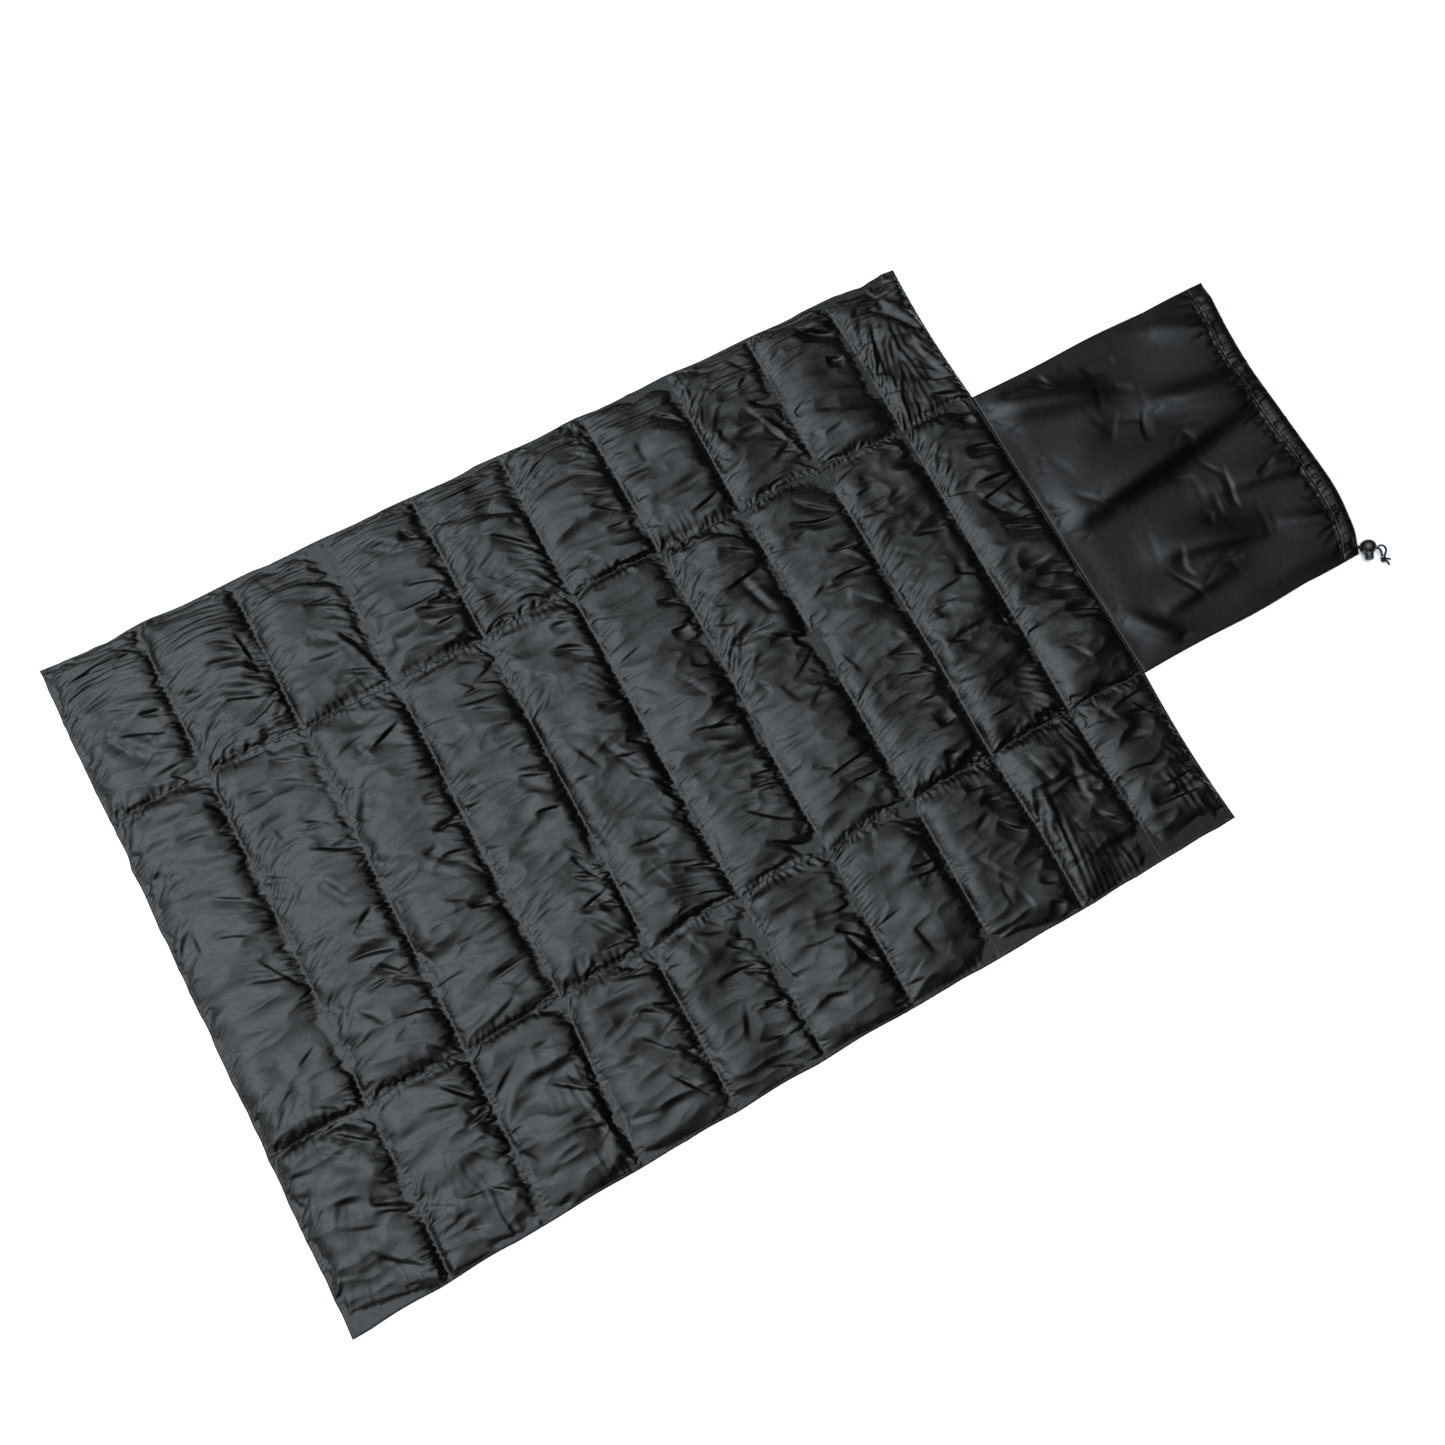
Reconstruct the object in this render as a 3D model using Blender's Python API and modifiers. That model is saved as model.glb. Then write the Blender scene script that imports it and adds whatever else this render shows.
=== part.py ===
"""Camp quilt with a stuff sack sewn to one end.

Units are metres and +Z is up. +X runs along the quilt from its plain end to the sack, and +Y across it.
The origin is on the ground under the middle of the quilt and its sack.
"""
import math

import bmesh
import bpy
import numpy as np
from mathutils import Matrix, Vector

# ---- driving dimensions ----------------------------------------------------------------------------
CHANNEL_PITCH = 0.142        # spacing of the cross seams
CHANNEL_COUNT = 10           # channels along the quilt
END_CHANNEL = 0.132          # the last channel, beside the sack
CENTRE_WIDTH = 0.503         # width between the two lengthwise seams
SIDE_WIDTH = 0.2485          # width from a lengthwise seam to the long edge
LOFT = 0.018                 # height of a channel at its crown
SHELL = 0.0006               # thickness of the shell cloth
SEAM_BATTING = 0.0008        # batting left where a seam squeezes it
HEM = 0.008                  # flat margin round the quilt's edge
GAP = 0.0003                 # clearance between layers and neighbours
THREAD_RADIUS = 0.0004       # quilting thread
EDGE_STITCH_INSET = 0.004    # from the edge to the edge stitching
STITCH_SPACE = 0.0016        # left between the middles of two threads that would meet
CROWN_ROLL = 0.045           # how far in from a lengthwise seam a cell's side rounds up
ROLL_SHARE = 0.9             # share of the full loft at that place
PUFF_FULLNESS = 0.6          # below 1, a channel's arch is fuller than a sine
CHANNEL_STATIONS = (0.0, 0.16, 0.5, 0.84)    # places along a channel where its arch is drawn

SACK_DEPTH = 0.446           # from the joining seam to the mouth, along the sack's longer side
MOUTH_SKEW = 0.045           # how fast the mouth draws back towards the cord lock's side
SACK_PANEL = 0.0008          # thickness of the sack cloth
MOUTH_GAP = 0.0046           # space between the two halves of the casing
SACK_CROWN = 0.004           # extra height of the top panel along its middle
SACK_SEAM = 0.006            # width of the seam allowance inside the sack
CASING_WIDTH = 0.030         # drawcord casing, from the mouth inwards
CASING_WALL = 0.0005
CASING_STITCH_INSET = 0.002  # from the casing's inner edge to its stitches
CASING_DRAWN_IN = 0.028      # the casing ends this far short of the side seam, where the cord comes out

CORD_DIAMETER = 0.0030
CORD_CLEARANCE = 0.0003      # round the cord in its casing and in the lock

BALL_RADIUS = 0.0120         # cord lock housing
BORE_RADIUS = 0.0066         # plunger's bore in the housing
BORE_FLOOR = -0.0088         # bottom of the bore, from the ball's centre
BORE_CLEARANCE = 0.0003
PLUNGER_LENGTH = 0.0225
PLUNGER_TRAVEL = 0.0030
PLUNGER_WEB = 0.0018         # plunger's wall under the cord slot
CAP_ROUND = 0.0020           # rounding of the plunger's thumb end
CORD_SLOT_SHIFT = 0.0015     # cord strands from the ball's centre, towards the thumb end
SPRING_WIRE = 0.0007
SPRING_RADIUS = 0.0042
SPRING_TURNS = 4
LOCK_HEADING = -28.0         # degrees on the ground from +X, the way the cord leaves the lock
LOCK_FROM_CASING = (0.0136, -0.0270)   # ball's centre from the end of the casing, along X and Y
KNOT_RADIUS = 0.0050
KNOT_TAIL_BEND = 0.6         # how far along a tail it comes down to the ground, as a share of its length
STRAND_THROUGH = (-1.1, -0.5, 0.0, 0.5, 1.1)    # straight places in the lock, in ball radii from its centre
KNOT_FROM_LOCK = (0.0162, -0.0281)     # knot's centre from the ball's centre, along X and Y

# The free strands' own points, from the ball's centre, in metres. Z is up from the strand's height in the lock
# on the way in, and from the ball's centre on the way out.
STRAND_INTO_LOCK = [(-0.0158, 0.0145, -0.0020)]
UPPER_STRAND_LOOP = [(0.0185, -0.0068, 0.0010), (0.0247, -0.0112, -0.0008), (0.0262, -0.0175, -0.0035),
                     (0.0222, -0.0232, -0.0060)]
LOWER_STRAND_LOOP = [(0.0168, -0.0098, -0.0035), (0.0190, -0.0145, -0.0055), (0.0186, -0.0200, -0.0070)]
KNOT_TAILS = [(0.0126, -0.0056, 0.0), (0.0058, -0.0123, 0.0)]    # tips of the tails from the knot's centre

# ---- how finely round shapes are drawn ---------------------------------------------------------------
CROWN_DIVISIONS = 10
TURN_STEPS = 8
TURN_SIDES = 24
BALL_STEPS = 10
SPRING_STEPS = 10
SHARP_ANGLE = 35             # degrees between two faces that are shaded with an edge between them

# ---- worked-out dimensions -------------------------------------------------------------------------
QUILT_LENGTH = CHANNEL_PITCH * (CHANNEL_COUNT - 1) + END_CHANNEL
QUILT_START = -(QUILT_LENGTH + SACK_DEPTH) / 2
QUILT_END = QUILT_START + QUILT_LENGTH
SACK_MOUTH = QUILT_END + SACK_DEPTH
SEAM_Y = CENTRE_WIDTH / 2
EDGE_Y = SEAM_Y + SIDE_WIDTH
SEAM_TOP = 2 * SHELL + SEAM_BATTING + 2 * GAP
STITCH_LIFT = GAP + THREAD_RADIUS
THREAD_Z = SEAM_TOP + STITCH_LIFT
CASING_HEIGHT = CORD_DIAMETER + 2 * CORD_CLEARANCE + 2 * CASING_WALL
UPPER_CASING_Z = CASING_HEIGHT + MOUTH_GAP
SACK_TOP = UPPER_CASING_Z + SACK_PANEL
LOWER_CORD_Z = CASING_HEIGHT / 2
UPPER_CORD_Z = UPPER_CASING_Z + CASING_HEIGHT / 2
CORD_RADIUS = CORD_DIAMETER / 2
STRAND_PITCH = CORD_DIAMETER + 2 * CORD_CLEARANCE    # the strands pass the lock one over the other
SACK_Y = CENTRE_WIDTH / 2     # the sack is as wide as the middle of the quilt
CASING_END_Y = CASING_DRAWN_IN - SACK_Y

COLLECTION = "camp_quilt"
CUTTERS = "camp_quilt_cutters"

MATERIALS = {                # name: (colour, roughness, metallic)
    "shell_nylon": ((0.030, 0.031, 0.034), 0.42, 0.0),
    "batting": ((0.80, 0.80, 0.78), 0.95, 0.0),
    "quilting_thread": ((0.020, 0.020, 0.022), 0.60, 0.0),
    "sack_nylon": ((0.014, 0.016, 0.022), 0.38, 0.0),
    "drawcord": ((0.012, 0.012, 0.013), 0.75, 0.0),
    "lock_plastic": ((0.010, 0.010, 0.011), 0.30, 0.0),
    "spring_steel": ((0.60, 0.60, 0.62), 0.25, 1.0),
}


# ---- scene helpers ---------------------------------------------------------------------------------
def clear_scene():
    for obj in list(bpy.data.objects):
        bpy.data.objects.remove(obj, do_unlink=True)


def collection(name):
    made = bpy.data.collections.get(name) or bpy.data.collections.new(name)
    if made.name not in bpy.context.scene.collection.children:
        bpy.context.scene.collection.children.link(made)
    return made


def material(name):
    made = bpy.data.materials.get(name)
    if made is None:
        colour, roughness, metallic = MATERIALS[name]
        made = bpy.data.materials.new(name)
        made.use_nodes = True
        shader = made.node_tree.nodes["Principled BSDF"]
        shader.inputs["Base Color"].default_value = (*colour, 1.0)
        shader.inputs["Roughness"].default_value = roughness
        shader.inputs["Metallic"].default_value = metallic
    return made


def add_object(name, data, material_name, where=COLLECTION):
    obj = bpy.data.objects.new(name, data)
    collection(where).objects.link(obj)
    data.materials.append(material(material_name))
    return obj


def mesh_object(name, bm, material_name, smooth=False):
    mesh = bpy.data.meshes.new(name)
    bmesh.ops.recalc_face_normals(bm, faces=bm.faces)
    bm.to_mesh(mesh)
    bm.free()
    if smooth:
        mesh.shade_smooth()
        mesh.set_sharp_from_angle(angle=math.radians(SHARP_ANGLE))
    return add_object(name, mesh, material_name)


def box(name, low, high, material_name):
    """A box between two corners."""
    bm = bmesh.new()
    bmesh.ops.create_cube(bm, size=1.0)
    low, high = Vector(low), Vector(high)
    bmesh.ops.scale(bm, vec=high - low, verts=bm.verts)
    bmesh.ops.translate(bm, vec=(low + high) / 2, verts=bm.verts)
    return mesh_object(name, bm, material_name)


def tube(name, points, radius, material_name, resolution=1):
    """A round bar along a polyline, with filled ends."""
    curve = bpy.data.curves.new(name, "CURVE")
    curve.dimensions = "3D"
    curve.bevel_depth = radius
    curve.bevel_resolution = resolution
    curve.use_fill_caps = True
    spline = curve.splines.new("POLY")
    spline.points.add(len(points) - 1)
    for point, place in zip(spline.points, points):
        point.co = (*place, 1.0)
    return add_object(name, curve, material_name)


def as_mesh(obj):
    """The curve object as a mesh object, its caps welded on."""
    graph = bpy.context.evaluated_depsgraph_get()
    mesh = bpy.data.meshes.new_from_object(obj.evaluated_get(graph))
    bm = bmesh.new()
    bm.from_mesh(mesh)
    bmesh.ops.remove_doubles(bm, verts=bm.verts, dist=1e-6)
    bm.to_mesh(mesh)
    bm.free()
    made = bpy.data.objects.new(obj.name + "_solid", mesh)
    made.matrix_world = obj.matrix_world
    collection(COLLECTION).objects.link(made)
    name = obj.name
    bpy.data.objects.remove(obj, do_unlink=True)
    made.name = name
    return made


def cutter(obj):
    """Moves an object to the cutters, which aren't part of the quilt."""
    for owner in list(obj.users_collection):
        owner.objects.unlink(obj)
    collection(CUTTERS).objects.link(obj)
    obj.hide_render = True
    obj.display_type = "WIRE"
    return obj


def cut(obj, tool):
    modifier = obj.modifiers.new("cut_" + tool.name, "BOOLEAN")
    modifier.operation = "DIFFERENCE"
    modifier.object = tool
    return obj


def smooth_curve(points, spacing):
    """Points read every `spacing` from a Catmull-Rom curve through the given points."""
    knots = [Vector(p) for p in points]
    ends = [knots[0] * 2 - knots[1]] + knots + [knots[-1] * 2 - knots[-2]]
    fine = []
    for before, start, end, after in zip(ends, ends[1:], ends[2:], ends[3:]):
        steps = max(2, round((end - start).length / spacing))
        for step in range(steps):
            t = step / steps
            fine.append(
                0.5 * (2 * start + (end - before) * t
                       + (2 * before - 5 * start + 4 * end - after) * t * t
                       + (3 * start - before - 3 * end + after) * t ** 3))
    return fine + [knots[-1]]


# ---- the quilt -------------------------------------------------------------------------------------
def seam_positions():
    """Where the channels begin and end along the quilt, its two ends included."""
    inner = [QUILT_START + CHANNEL_PITCH * i for i in range(1, CHANNEL_COUNT)]
    return [QUILT_START] + inner + [QUILT_END]


def puff_profile(stations, low, high):
    """Share of the full loft at each station: none at both ends, full in the middle."""
    t = np.clip((np.asarray(stations) - low) / (high - low), 0, 1)
    return np.sin(math.pi * t) ** PUFF_FULLNESS


def length_stations():
    """Stations along the quilt with their share of the loft, three inside each channel."""
    seams = seam_positions()
    places, shares = [QUILT_START], [0.0]
    for index, (low, high) in enumerate(zip(seams, seams[1:])):
        low = low + HEM if index == 0 else low
        high = high - HEM if index == CHANNEL_COUNT - 1 else high
        inside = [low + (high - low) * share for share in CHANNEL_STATIONS]
        places += inside
        shares += list(puff_profile(inside, low, high))
    return places + [QUILT_END - HEM, QUILT_END], shares + [0.0, 0.0]


def width_stations(low, high, low_hem, high_hem):
    """Stations across one column with their share of the loft; a hem is a flat margin at that side."""
    inner_low, inner_high = low + low_hem, high - high_hem
    span = inner_high - inner_low
    roll = min(CROWN_ROLL, span / 4)
    places = [inner_low, inner_low + roll, (inner_low + inner_high) / 2, inner_high - roll, inner_high]
    shares = [0.0, ROLL_SHARE, 1.0, ROLL_SHARE, 0.0]
    if low_hem:
        places, shares = [low] + places, [0.0] + shares
    if high_hem:
        places, shares = places + [high], shares + [0.0]
    return places, shares


def pillow(name, columns, lift, floor, thickness, material_name):
    """A layer that follows the puffed cells: its top lies `lift` under the quilt's own top.

    With a thickness it is a cloth of that thickness; without one it reaches down to `floor`.
    """
    xs, x_shares = length_stations()
    ys, y_shares = columns
    bm = bmesh.new()
    bmesh.ops.create_grid(bm, x_segments=len(xs) - 1, y_segments=len(ys) - 1, size=0.5)
    for vert in bm.verts:
        column = round((vert.co.x + 0.5) * (len(xs) - 1))
        row = round((vert.co.y + 0.5) * (len(ys) - 1))
        share = x_shares[column] * y_shares[row]
        vert.co = (xs[column], ys[row], SEAM_TOP + (LOFT - SEAM_TOP) * share - lift)
    under = bmesh.ops.extrude_face_region(bm, geom=bm.faces[:])
    for vert in [item for item in under["geom"] if isinstance(item, bmesh.types.BMVert)]:
        vert.co.z = vert.co.z - thickness if thickness else floor
    return mesh_object(name, bm, material_name)


def build_column(prefix, low, high, low_hem, high_hem):
    """One lengthwise third of the quilt: two shells and the batting between them."""
    columns = width_stations(low, high, low_hem, high_hem)
    box(prefix + "_bottom_shell", (QUILT_START, low, 0.0), (QUILT_END, high, SHELL), "shell_nylon")
    pillow(prefix + "_batting", columns, SHELL + GAP, SHELL + GAP, 0.0, "batting")
    pillow(prefix + "_top_shell", columns, 0.0, 0.0, SHELL, "shell_nylon")
    for number, x in enumerate(seam_positions()[1:-1], start=1):
        ends = (low + low_hem + 2 * GAP, high - high_hem - 2 * GAP)
        tube(f"{prefix}_cross_stitch_{number}", [(x, y, THREAD_Z) for y in ends], THREAD_RADIUS,
             "quilting_thread")


def build_quilt():
    half_gap = GAP / 2
    build_column("centre", -SEAM_Y + half_gap, SEAM_Y - half_gap, 0.0, 0.0)
    build_column("left", SEAM_Y + half_gap, EDGE_Y, 0.0, HEM)
    build_column("right", -EDGE_Y, -SEAM_Y - half_gap, HEM, 0.0)
    start, end = QUILT_START + EDGE_STITCH_INSET, QUILT_END - EDGE_STITCH_INSET
    for side, name in ((1, "left"), (-1, "right")):
        seam, edge = side * SEAM_Y, side * (EDGE_Y - EDGE_STITCH_INSET)
        clear = side * (SEAM_Y + STITCH_SPACE)
        lock = [(start + HEM, seam, THREAD_Z), (end - HEM, seam, THREAD_Z)]
        tube(name + "_lengthwise_stitch", lock, THREAD_RADIUS, "quilting_thread")
        route = [(start, clear, THREAD_Z), (start, edge, THREAD_Z), (end, edge, THREAD_Z), (end, clear, THREAD_Z)]
        tube(name + "_edge_stitch", route, THREAD_RADIUS, "quilting_thread")
    reach = SEAM_Y - STITCH_SPACE / 2
    for x, name in ((start, "plain_end_stitch"), (end, "sack_end_stitch")):
        tube(name, [(x, -reach, THREAD_Z), (x, reach, THREAD_Z)], THREAD_RADIUS, "quilting_thread")


# ---- the stuff sack --------------------------------------------------------------------------------
def mouth_x(y):
    """Where the sack's mouth lies at that place across it."""
    return SACK_MOUTH - MOUTH_SKEW * (SACK_Y - y)


def cord_x(y):
    """Where the cord lies inside the casing at that place across it."""
    return mouth_x(y) - CASING_WIDTH / 2


def panel_end(y):
    """Where the sack's panels stop and the casing begins."""
    return mouth_x(y) - CASING_WIDTH - GAP


def skewed_box(name, start, end, low_y, high_y, low_z, high_z, material_name):
    """A box whose near and far ends follow the functions `start` and `end` of the place across it."""
    bm = bmesh.new()
    bmesh.ops.create_cube(bm, size=2.0)
    for vert in bm.verts:
        y = low_y if vert.co.y < 0 else high_y
        x = (start if vert.co.x < 0 else end)(y)
        vert.co = (x, y, low_z if vert.co.z < 0 else high_z)
    return mesh_object(name, bm, material_name)


def joining_line(y):
    """The line where the sack is sewn to the quilt."""
    return QUILT_END + GAP


def crown(y):
    """Extra height of the sack's top panel at that place across it."""
    return SACK_CROWN * math.cos(math.pi / 2 * y / SACK_Y) ** 2


def build_sack_panels():
    skewed_box("sack_bottom_panel", joining_line, panel_end, -SACK_Y, SACK_Y, 0.0, SACK_PANEL, "sack_nylon")
    bm = bmesh.new()
    bmesh.ops.create_grid(bm, x_segments=1, y_segments=CROWN_DIVISIONS, size=0.5)
    for vert in bm.verts:
        y = vert.co.y * 2 * SACK_Y
        x = (joining_line if vert.co.x < 0 else panel_end)(y)
        vert.co = (x, y, SACK_TOP + crown(y))
    under = bmesh.ops.extrude_face_region(bm, geom=bm.faces[:])
    moved = [item for item in under["geom"] if isinstance(item, bmesh.types.BMVert)]
    bmesh.ops.translate(bm, vec=(0, 0, -SACK_PANEL), verts=moved)
    mesh_object("sack_top_panel", bm, "sack_nylon")


def build_sack_seams():
    """Seam allowances inside the sack: one along each side and one along the quilt's end."""
    low, high = SACK_PANEL + GAP, SACK_TOP - SACK_PANEL - GAP
    inner = SACK_Y - SACK_SEAM
    start = joining_line(0.0)
    box("sack_joining_seam", (start, -inner + GAP, low), (start + SACK_SEAM, inner - GAP, high), "sack_nylon")
    skewed_box("sack_left_seam", joining_line, panel_end, inner, SACK_Y, low, high, "sack_nylon")
    skewed_box("sack_right_seam", joining_line, panel_end, -SACK_Y, -inner, low, high, "sack_nylon")
    over = SACK_TOP + STITCH_LIFT
    across = [SACK_Y * (2 * step / CROWN_DIVISIONS - 1) for step in range(1, CROWN_DIVISIONS)]
    stitch = [(start + SACK_SEAM / 2, y, over + crown(y)) for y in across]
    tube("sack_joining_stitch", stitch, THREAD_RADIUS, "quilting_thread")


def build_casing(name, base, stitch_inset, stitch_z):
    """A flat sleeve of cloth round the cord, open at both of its ends, with its line of stitches."""
    def inner_start(y):
        return mouth_x(y) - CASING_WIDTH + CASING_WALL

    def inner_end(y):
        return mouth_x(y) - CASING_WALL

    def outer_start(y):
        return mouth_x(y) - CASING_WIDTH

    sleeve = skewed_box(name, outer_start, mouth_x, CASING_END_Y, SACK_Y, base, base + CASING_HEIGHT,
                        "sack_nylon")
    inside = skewed_box(name + "_tunnel", inner_start, inner_end, CASING_END_Y - CASING_WALL,
                        SACK_Y + CASING_WALL, base + CASING_WALL, base + CASING_HEIGHT - CASING_WALL,
                        "sack_nylon")
    cut(sleeve, cutter(inside))
    ends = (CASING_END_Y + SACK_SEAM, SACK_Y - SACK_SEAM)
    stitch = [(outer_start(y) + stitch_inset, y, stitch_z) for y in ends]
    tube(name + "_stitch", stitch, THREAD_RADIUS, "quilting_thread")


def build_drawcord():
    """The cord inside the casing: out along the lower sleeve, round the far corner, back along the upper."""
    turn_radius = (UPPER_CORD_Z - LOWER_CORD_Z) / 2
    middle_z = (UPPER_CORD_Z + LOWER_CORD_Z) / 2
    turn_y = SACK_Y + CORD_RADIUS
    route = [(cord_x(CASING_END_Y), CASING_END_Y + CORD_RADIUS, LOWER_CORD_Z)]
    for step in range(TURN_STEPS + 1):
        angle = -math.pi / 2 + math.pi * step / TURN_STEPS
        y = turn_y + turn_radius * math.cos(angle)
        route.append((cord_x(turn_y), y, middle_z + turn_radius * math.sin(angle)))
    route.append((cord_x(CASING_END_Y), CASING_END_Y + CORD_RADIUS, UPPER_CORD_Z))
    tube("drawcord_in_casing", route, CORD_RADIUS, "drawcord", resolution=2)


# ---- the cord lock and the free end of the cord ----------------------------------------------------
def lock_frame():
    """The ball's centre, and unit vectors along the cord's way out and the plunger's way out."""
    centre = Vector((cord_x(CASING_END_Y) + LOCK_FROM_CASING[0], CASING_END_Y + LOCK_FROM_CASING[1],
                     BALL_RADIUS))
    heading = math.radians(LOCK_HEADING)
    along = Vector((math.cos(heading), math.sin(heading), 0.0))
    thumb = Vector((along.y, -along.x, 0.0))
    return centre, along, thumb


def lock_placing():
    """The matrix that places a shape drawn with the plunger along +Z and the cord along +X."""
    centre, along, thumb = lock_frame()
    turned_axes = Matrix((along, thumb.cross(along), thumb)).transposed().to_4x4()
    return Matrix.Translation(centre) @ turned_axes


def turned(name, profile, material_name):
    """A round part from a profile of (radius, height) points, listed from its top to its bottom."""
    mesh = bpy.data.meshes.new(name)
    points = [(radius, 0.0, height) for radius, height in profile]
    mesh.from_pydata(points, [(i, i + 1) for i in range(len(points) - 1)], [])
    obj = add_object(name, mesh, material_name)
    screw = obj.modifiers.new("turn", "SCREW")
    screw.steps = screw.render_steps = TURN_SIDES
    screw.use_merge_vertices = True
    screw.merge_threshold = 1e-5
    return obj


def slot_cutter(name, low, high):
    """A flat-sided slot for the two strands, through along X, between two heights."""
    half_width = (STRAND_PITCH + CORD_DIAMETER) / 2 + CORD_CLEARANCE
    reach = BALL_RADIUS * 2
    return cutter(box(name, (-reach, -half_width, low), (reach, half_width, high), "lock_plastic"))


def build_lock():
    """The ball housing, the plunger in its bore and the spring under it.

    At rest the plunger's slot and the housing's pinch the two strands between them, so each slot has
    one edge beside the strands and its other edge a full travel further away.
    """
    grip = CORD_RADIUS + CORD_CLEARANCE
    slot_mid = CORD_SLOT_SHIFT
    housing_slot = (slot_mid - grip - PLUNGER_TRAVEL, slot_mid + grip)
    plunger_slot = (slot_mid - grip, slot_mid + grip + PLUNGER_TRAVEL)
    rim = math.sqrt(BALL_RADIUS ** 2 - BORE_RADIUS ** 2)
    rim_angle = math.atan2(rim, BORE_RADIUS)
    arc = [rim_angle - (rim_angle + math.pi / 2) * step / BALL_STEPS for step in range(BALL_STEPS + 1)]
    ball = [(BALL_RADIUS * math.cos(a), BALL_RADIUS * math.sin(a)) for a in arc[:-1]] + [(0.0, -BALL_RADIUS)]
    bore = [(0.0, BORE_FLOOR), (BORE_RADIUS, BORE_FLOOR)]
    housing = turned("lock_housing", bore + ball, "lock_plastic")
    cut(housing, slot_cutter("housing_slot", *housing_slot))

    plunger_radius = BORE_RADIUS - BORE_CLEARANCE
    foot = plunger_slot[0] - PLUNGER_WEB
    top = foot + PLUNGER_LENGTH
    shoulder = [(plunger_radius - CAP_ROUND * (1 - math.sin(a)), top - CAP_ROUND * (1 - math.cos(a)))
                for a in (0.0, math.pi / 6, math.pi / 3, math.pi / 2)]
    plunger = turned("lock_plunger", [(0.0, top)] + shoulder + [(plunger_radius, foot), (0.0, foot)],
                     "lock_plastic")
    cut(plunger, slot_cutter("plunger_slot", *plunger_slot))

    low = BORE_FLOOR + SPRING_WIRE / 2 + GAP
    high = foot - SPRING_WIRE / 2 - GAP
    steps = SPRING_TURNS * SPRING_STEPS
    coil = []
    for step in range(steps + 1):
        angle = 2 * math.pi * step / SPRING_STEPS
        coil.append((SPRING_RADIUS * math.cos(angle), SPRING_RADIUS * math.sin(angle),
                     low + (high - low) * step / steps))
    spring = tube("lock_spring", coil, SPRING_WIRE / 2, "spring_steel", resolution=0)

    for obj in (housing, plunger, spring, bpy.data.objects["housing_slot"], bpy.data.objects["plunger_slot"]):
        obj.matrix_world = lock_placing()


def strand_route(side):
    """The route of one free strand from the casing to the knot: side is 1 for the upper one, -1 for the lower.

    It starts at the casing's end, turns into the lock's slot, runs straight through it, and swings round
    to the knot, the upper strand in the wider loop.
    """
    centre, along, thumb = lock_frame()
    start = Vector((cord_x(CASING_END_Y), CASING_END_Y - GAP, UPPER_CORD_Z if side > 0 else LOWER_CORD_Z))
    level = thumb * CORD_SLOT_SHIFT + Vector((0.0, 0.0, side * STRAND_PITCH / 2))
    knot = Vector((centre.x + KNOT_FROM_LOCK[0], centre.y + KNOT_FROM_LOCK[1], KNOT_RADIUS))
    into = [centre + level + Vector(offset) for offset in STRAND_INTO_LOCK]
    through = [centre + level + along * share * BALL_RADIUS for share in STRAND_THROUGH]
    out = [centre + Vector(offset) for offset in (UPPER_STRAND_LOOP if side > 0 else LOWER_STRAND_LOOP)]
    approach = (out[-1] - knot).normalized() * (KNOT_RADIUS + GAP)
    return [start, start + Vector((0.0, -CORD_DIAMETER, 0.0))] + into + through + out + [knot + approach]


def build_free_cord():
    for side, name in ((1, "upper_strand"), (-1, "lower_strand")):
        route = smooth_curve(strand_route(side), CORD_DIAMETER)
        tube(name, route, CORD_RADIUS, "drawcord", resolution=2)


def build_knot():
    """The knot that joins the strands, with the two tails that stick out of it."""
    centre, _, _ = lock_frame()
    place = Vector((centre.x + KNOT_FROM_LOCK[0], centre.y + KNOT_FROM_LOCK[1], KNOT_RADIUS))
    bm = bmesh.new()
    bmesh.ops.create_icosphere(bm, subdivisions=2, radius=KNOT_RADIUS)
    bmesh.ops.translate(bm, vec=place, verts=bm.verts)
    knot = mesh_object("cord_knot", bm, "drawcord", smooth=True)
    for number, reach in enumerate(KNOT_TAILS, start=1):
        tip = place + Vector(reach)
        tip.z = CORD_RADIUS + GAP
        tail = as_mesh(tube(f"knot_tail_{number}", [place, place.lerp(tip, KNOT_TAIL_BEND), tip], CORD_RADIUS, "drawcord"))
        joined = knot.modifiers.new("join_" + tail.name, "BOOLEAN")
        joined.operation = "UNION"
        joined.object = cutter(tail)


# ---- main ------------------------------------------------------------------------------------------
def main():
    clear_scene()
    build_quilt()
    build_sack_panels()
    build_sack_seams()
    build_casing("lower_casing", 0.0, -STITCH_LIFT - GAP, SACK_PANEL + STITCH_LIFT)
    build_casing("upper_casing", UPPER_CASING_Z, CASING_STITCH_INSET, UPPER_CASING_Z + CASING_HEIGHT + STITCH_LIFT)
    build_drawcord()
    build_lock()
    build_free_cord()
    build_knot()


main()
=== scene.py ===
"""Looks of the camp quilt with its attached stuff sack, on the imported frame.

Everything is in metres in the frame's own axes: the quilt lies on the ground with its length along X,
the stuff sack is at the +X end, and Z is up.
"""
import logging
import math
from dataclasses import dataclass, field
from enum import Enum
from typing import Iterable, Optional, Sequence, Union

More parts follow.
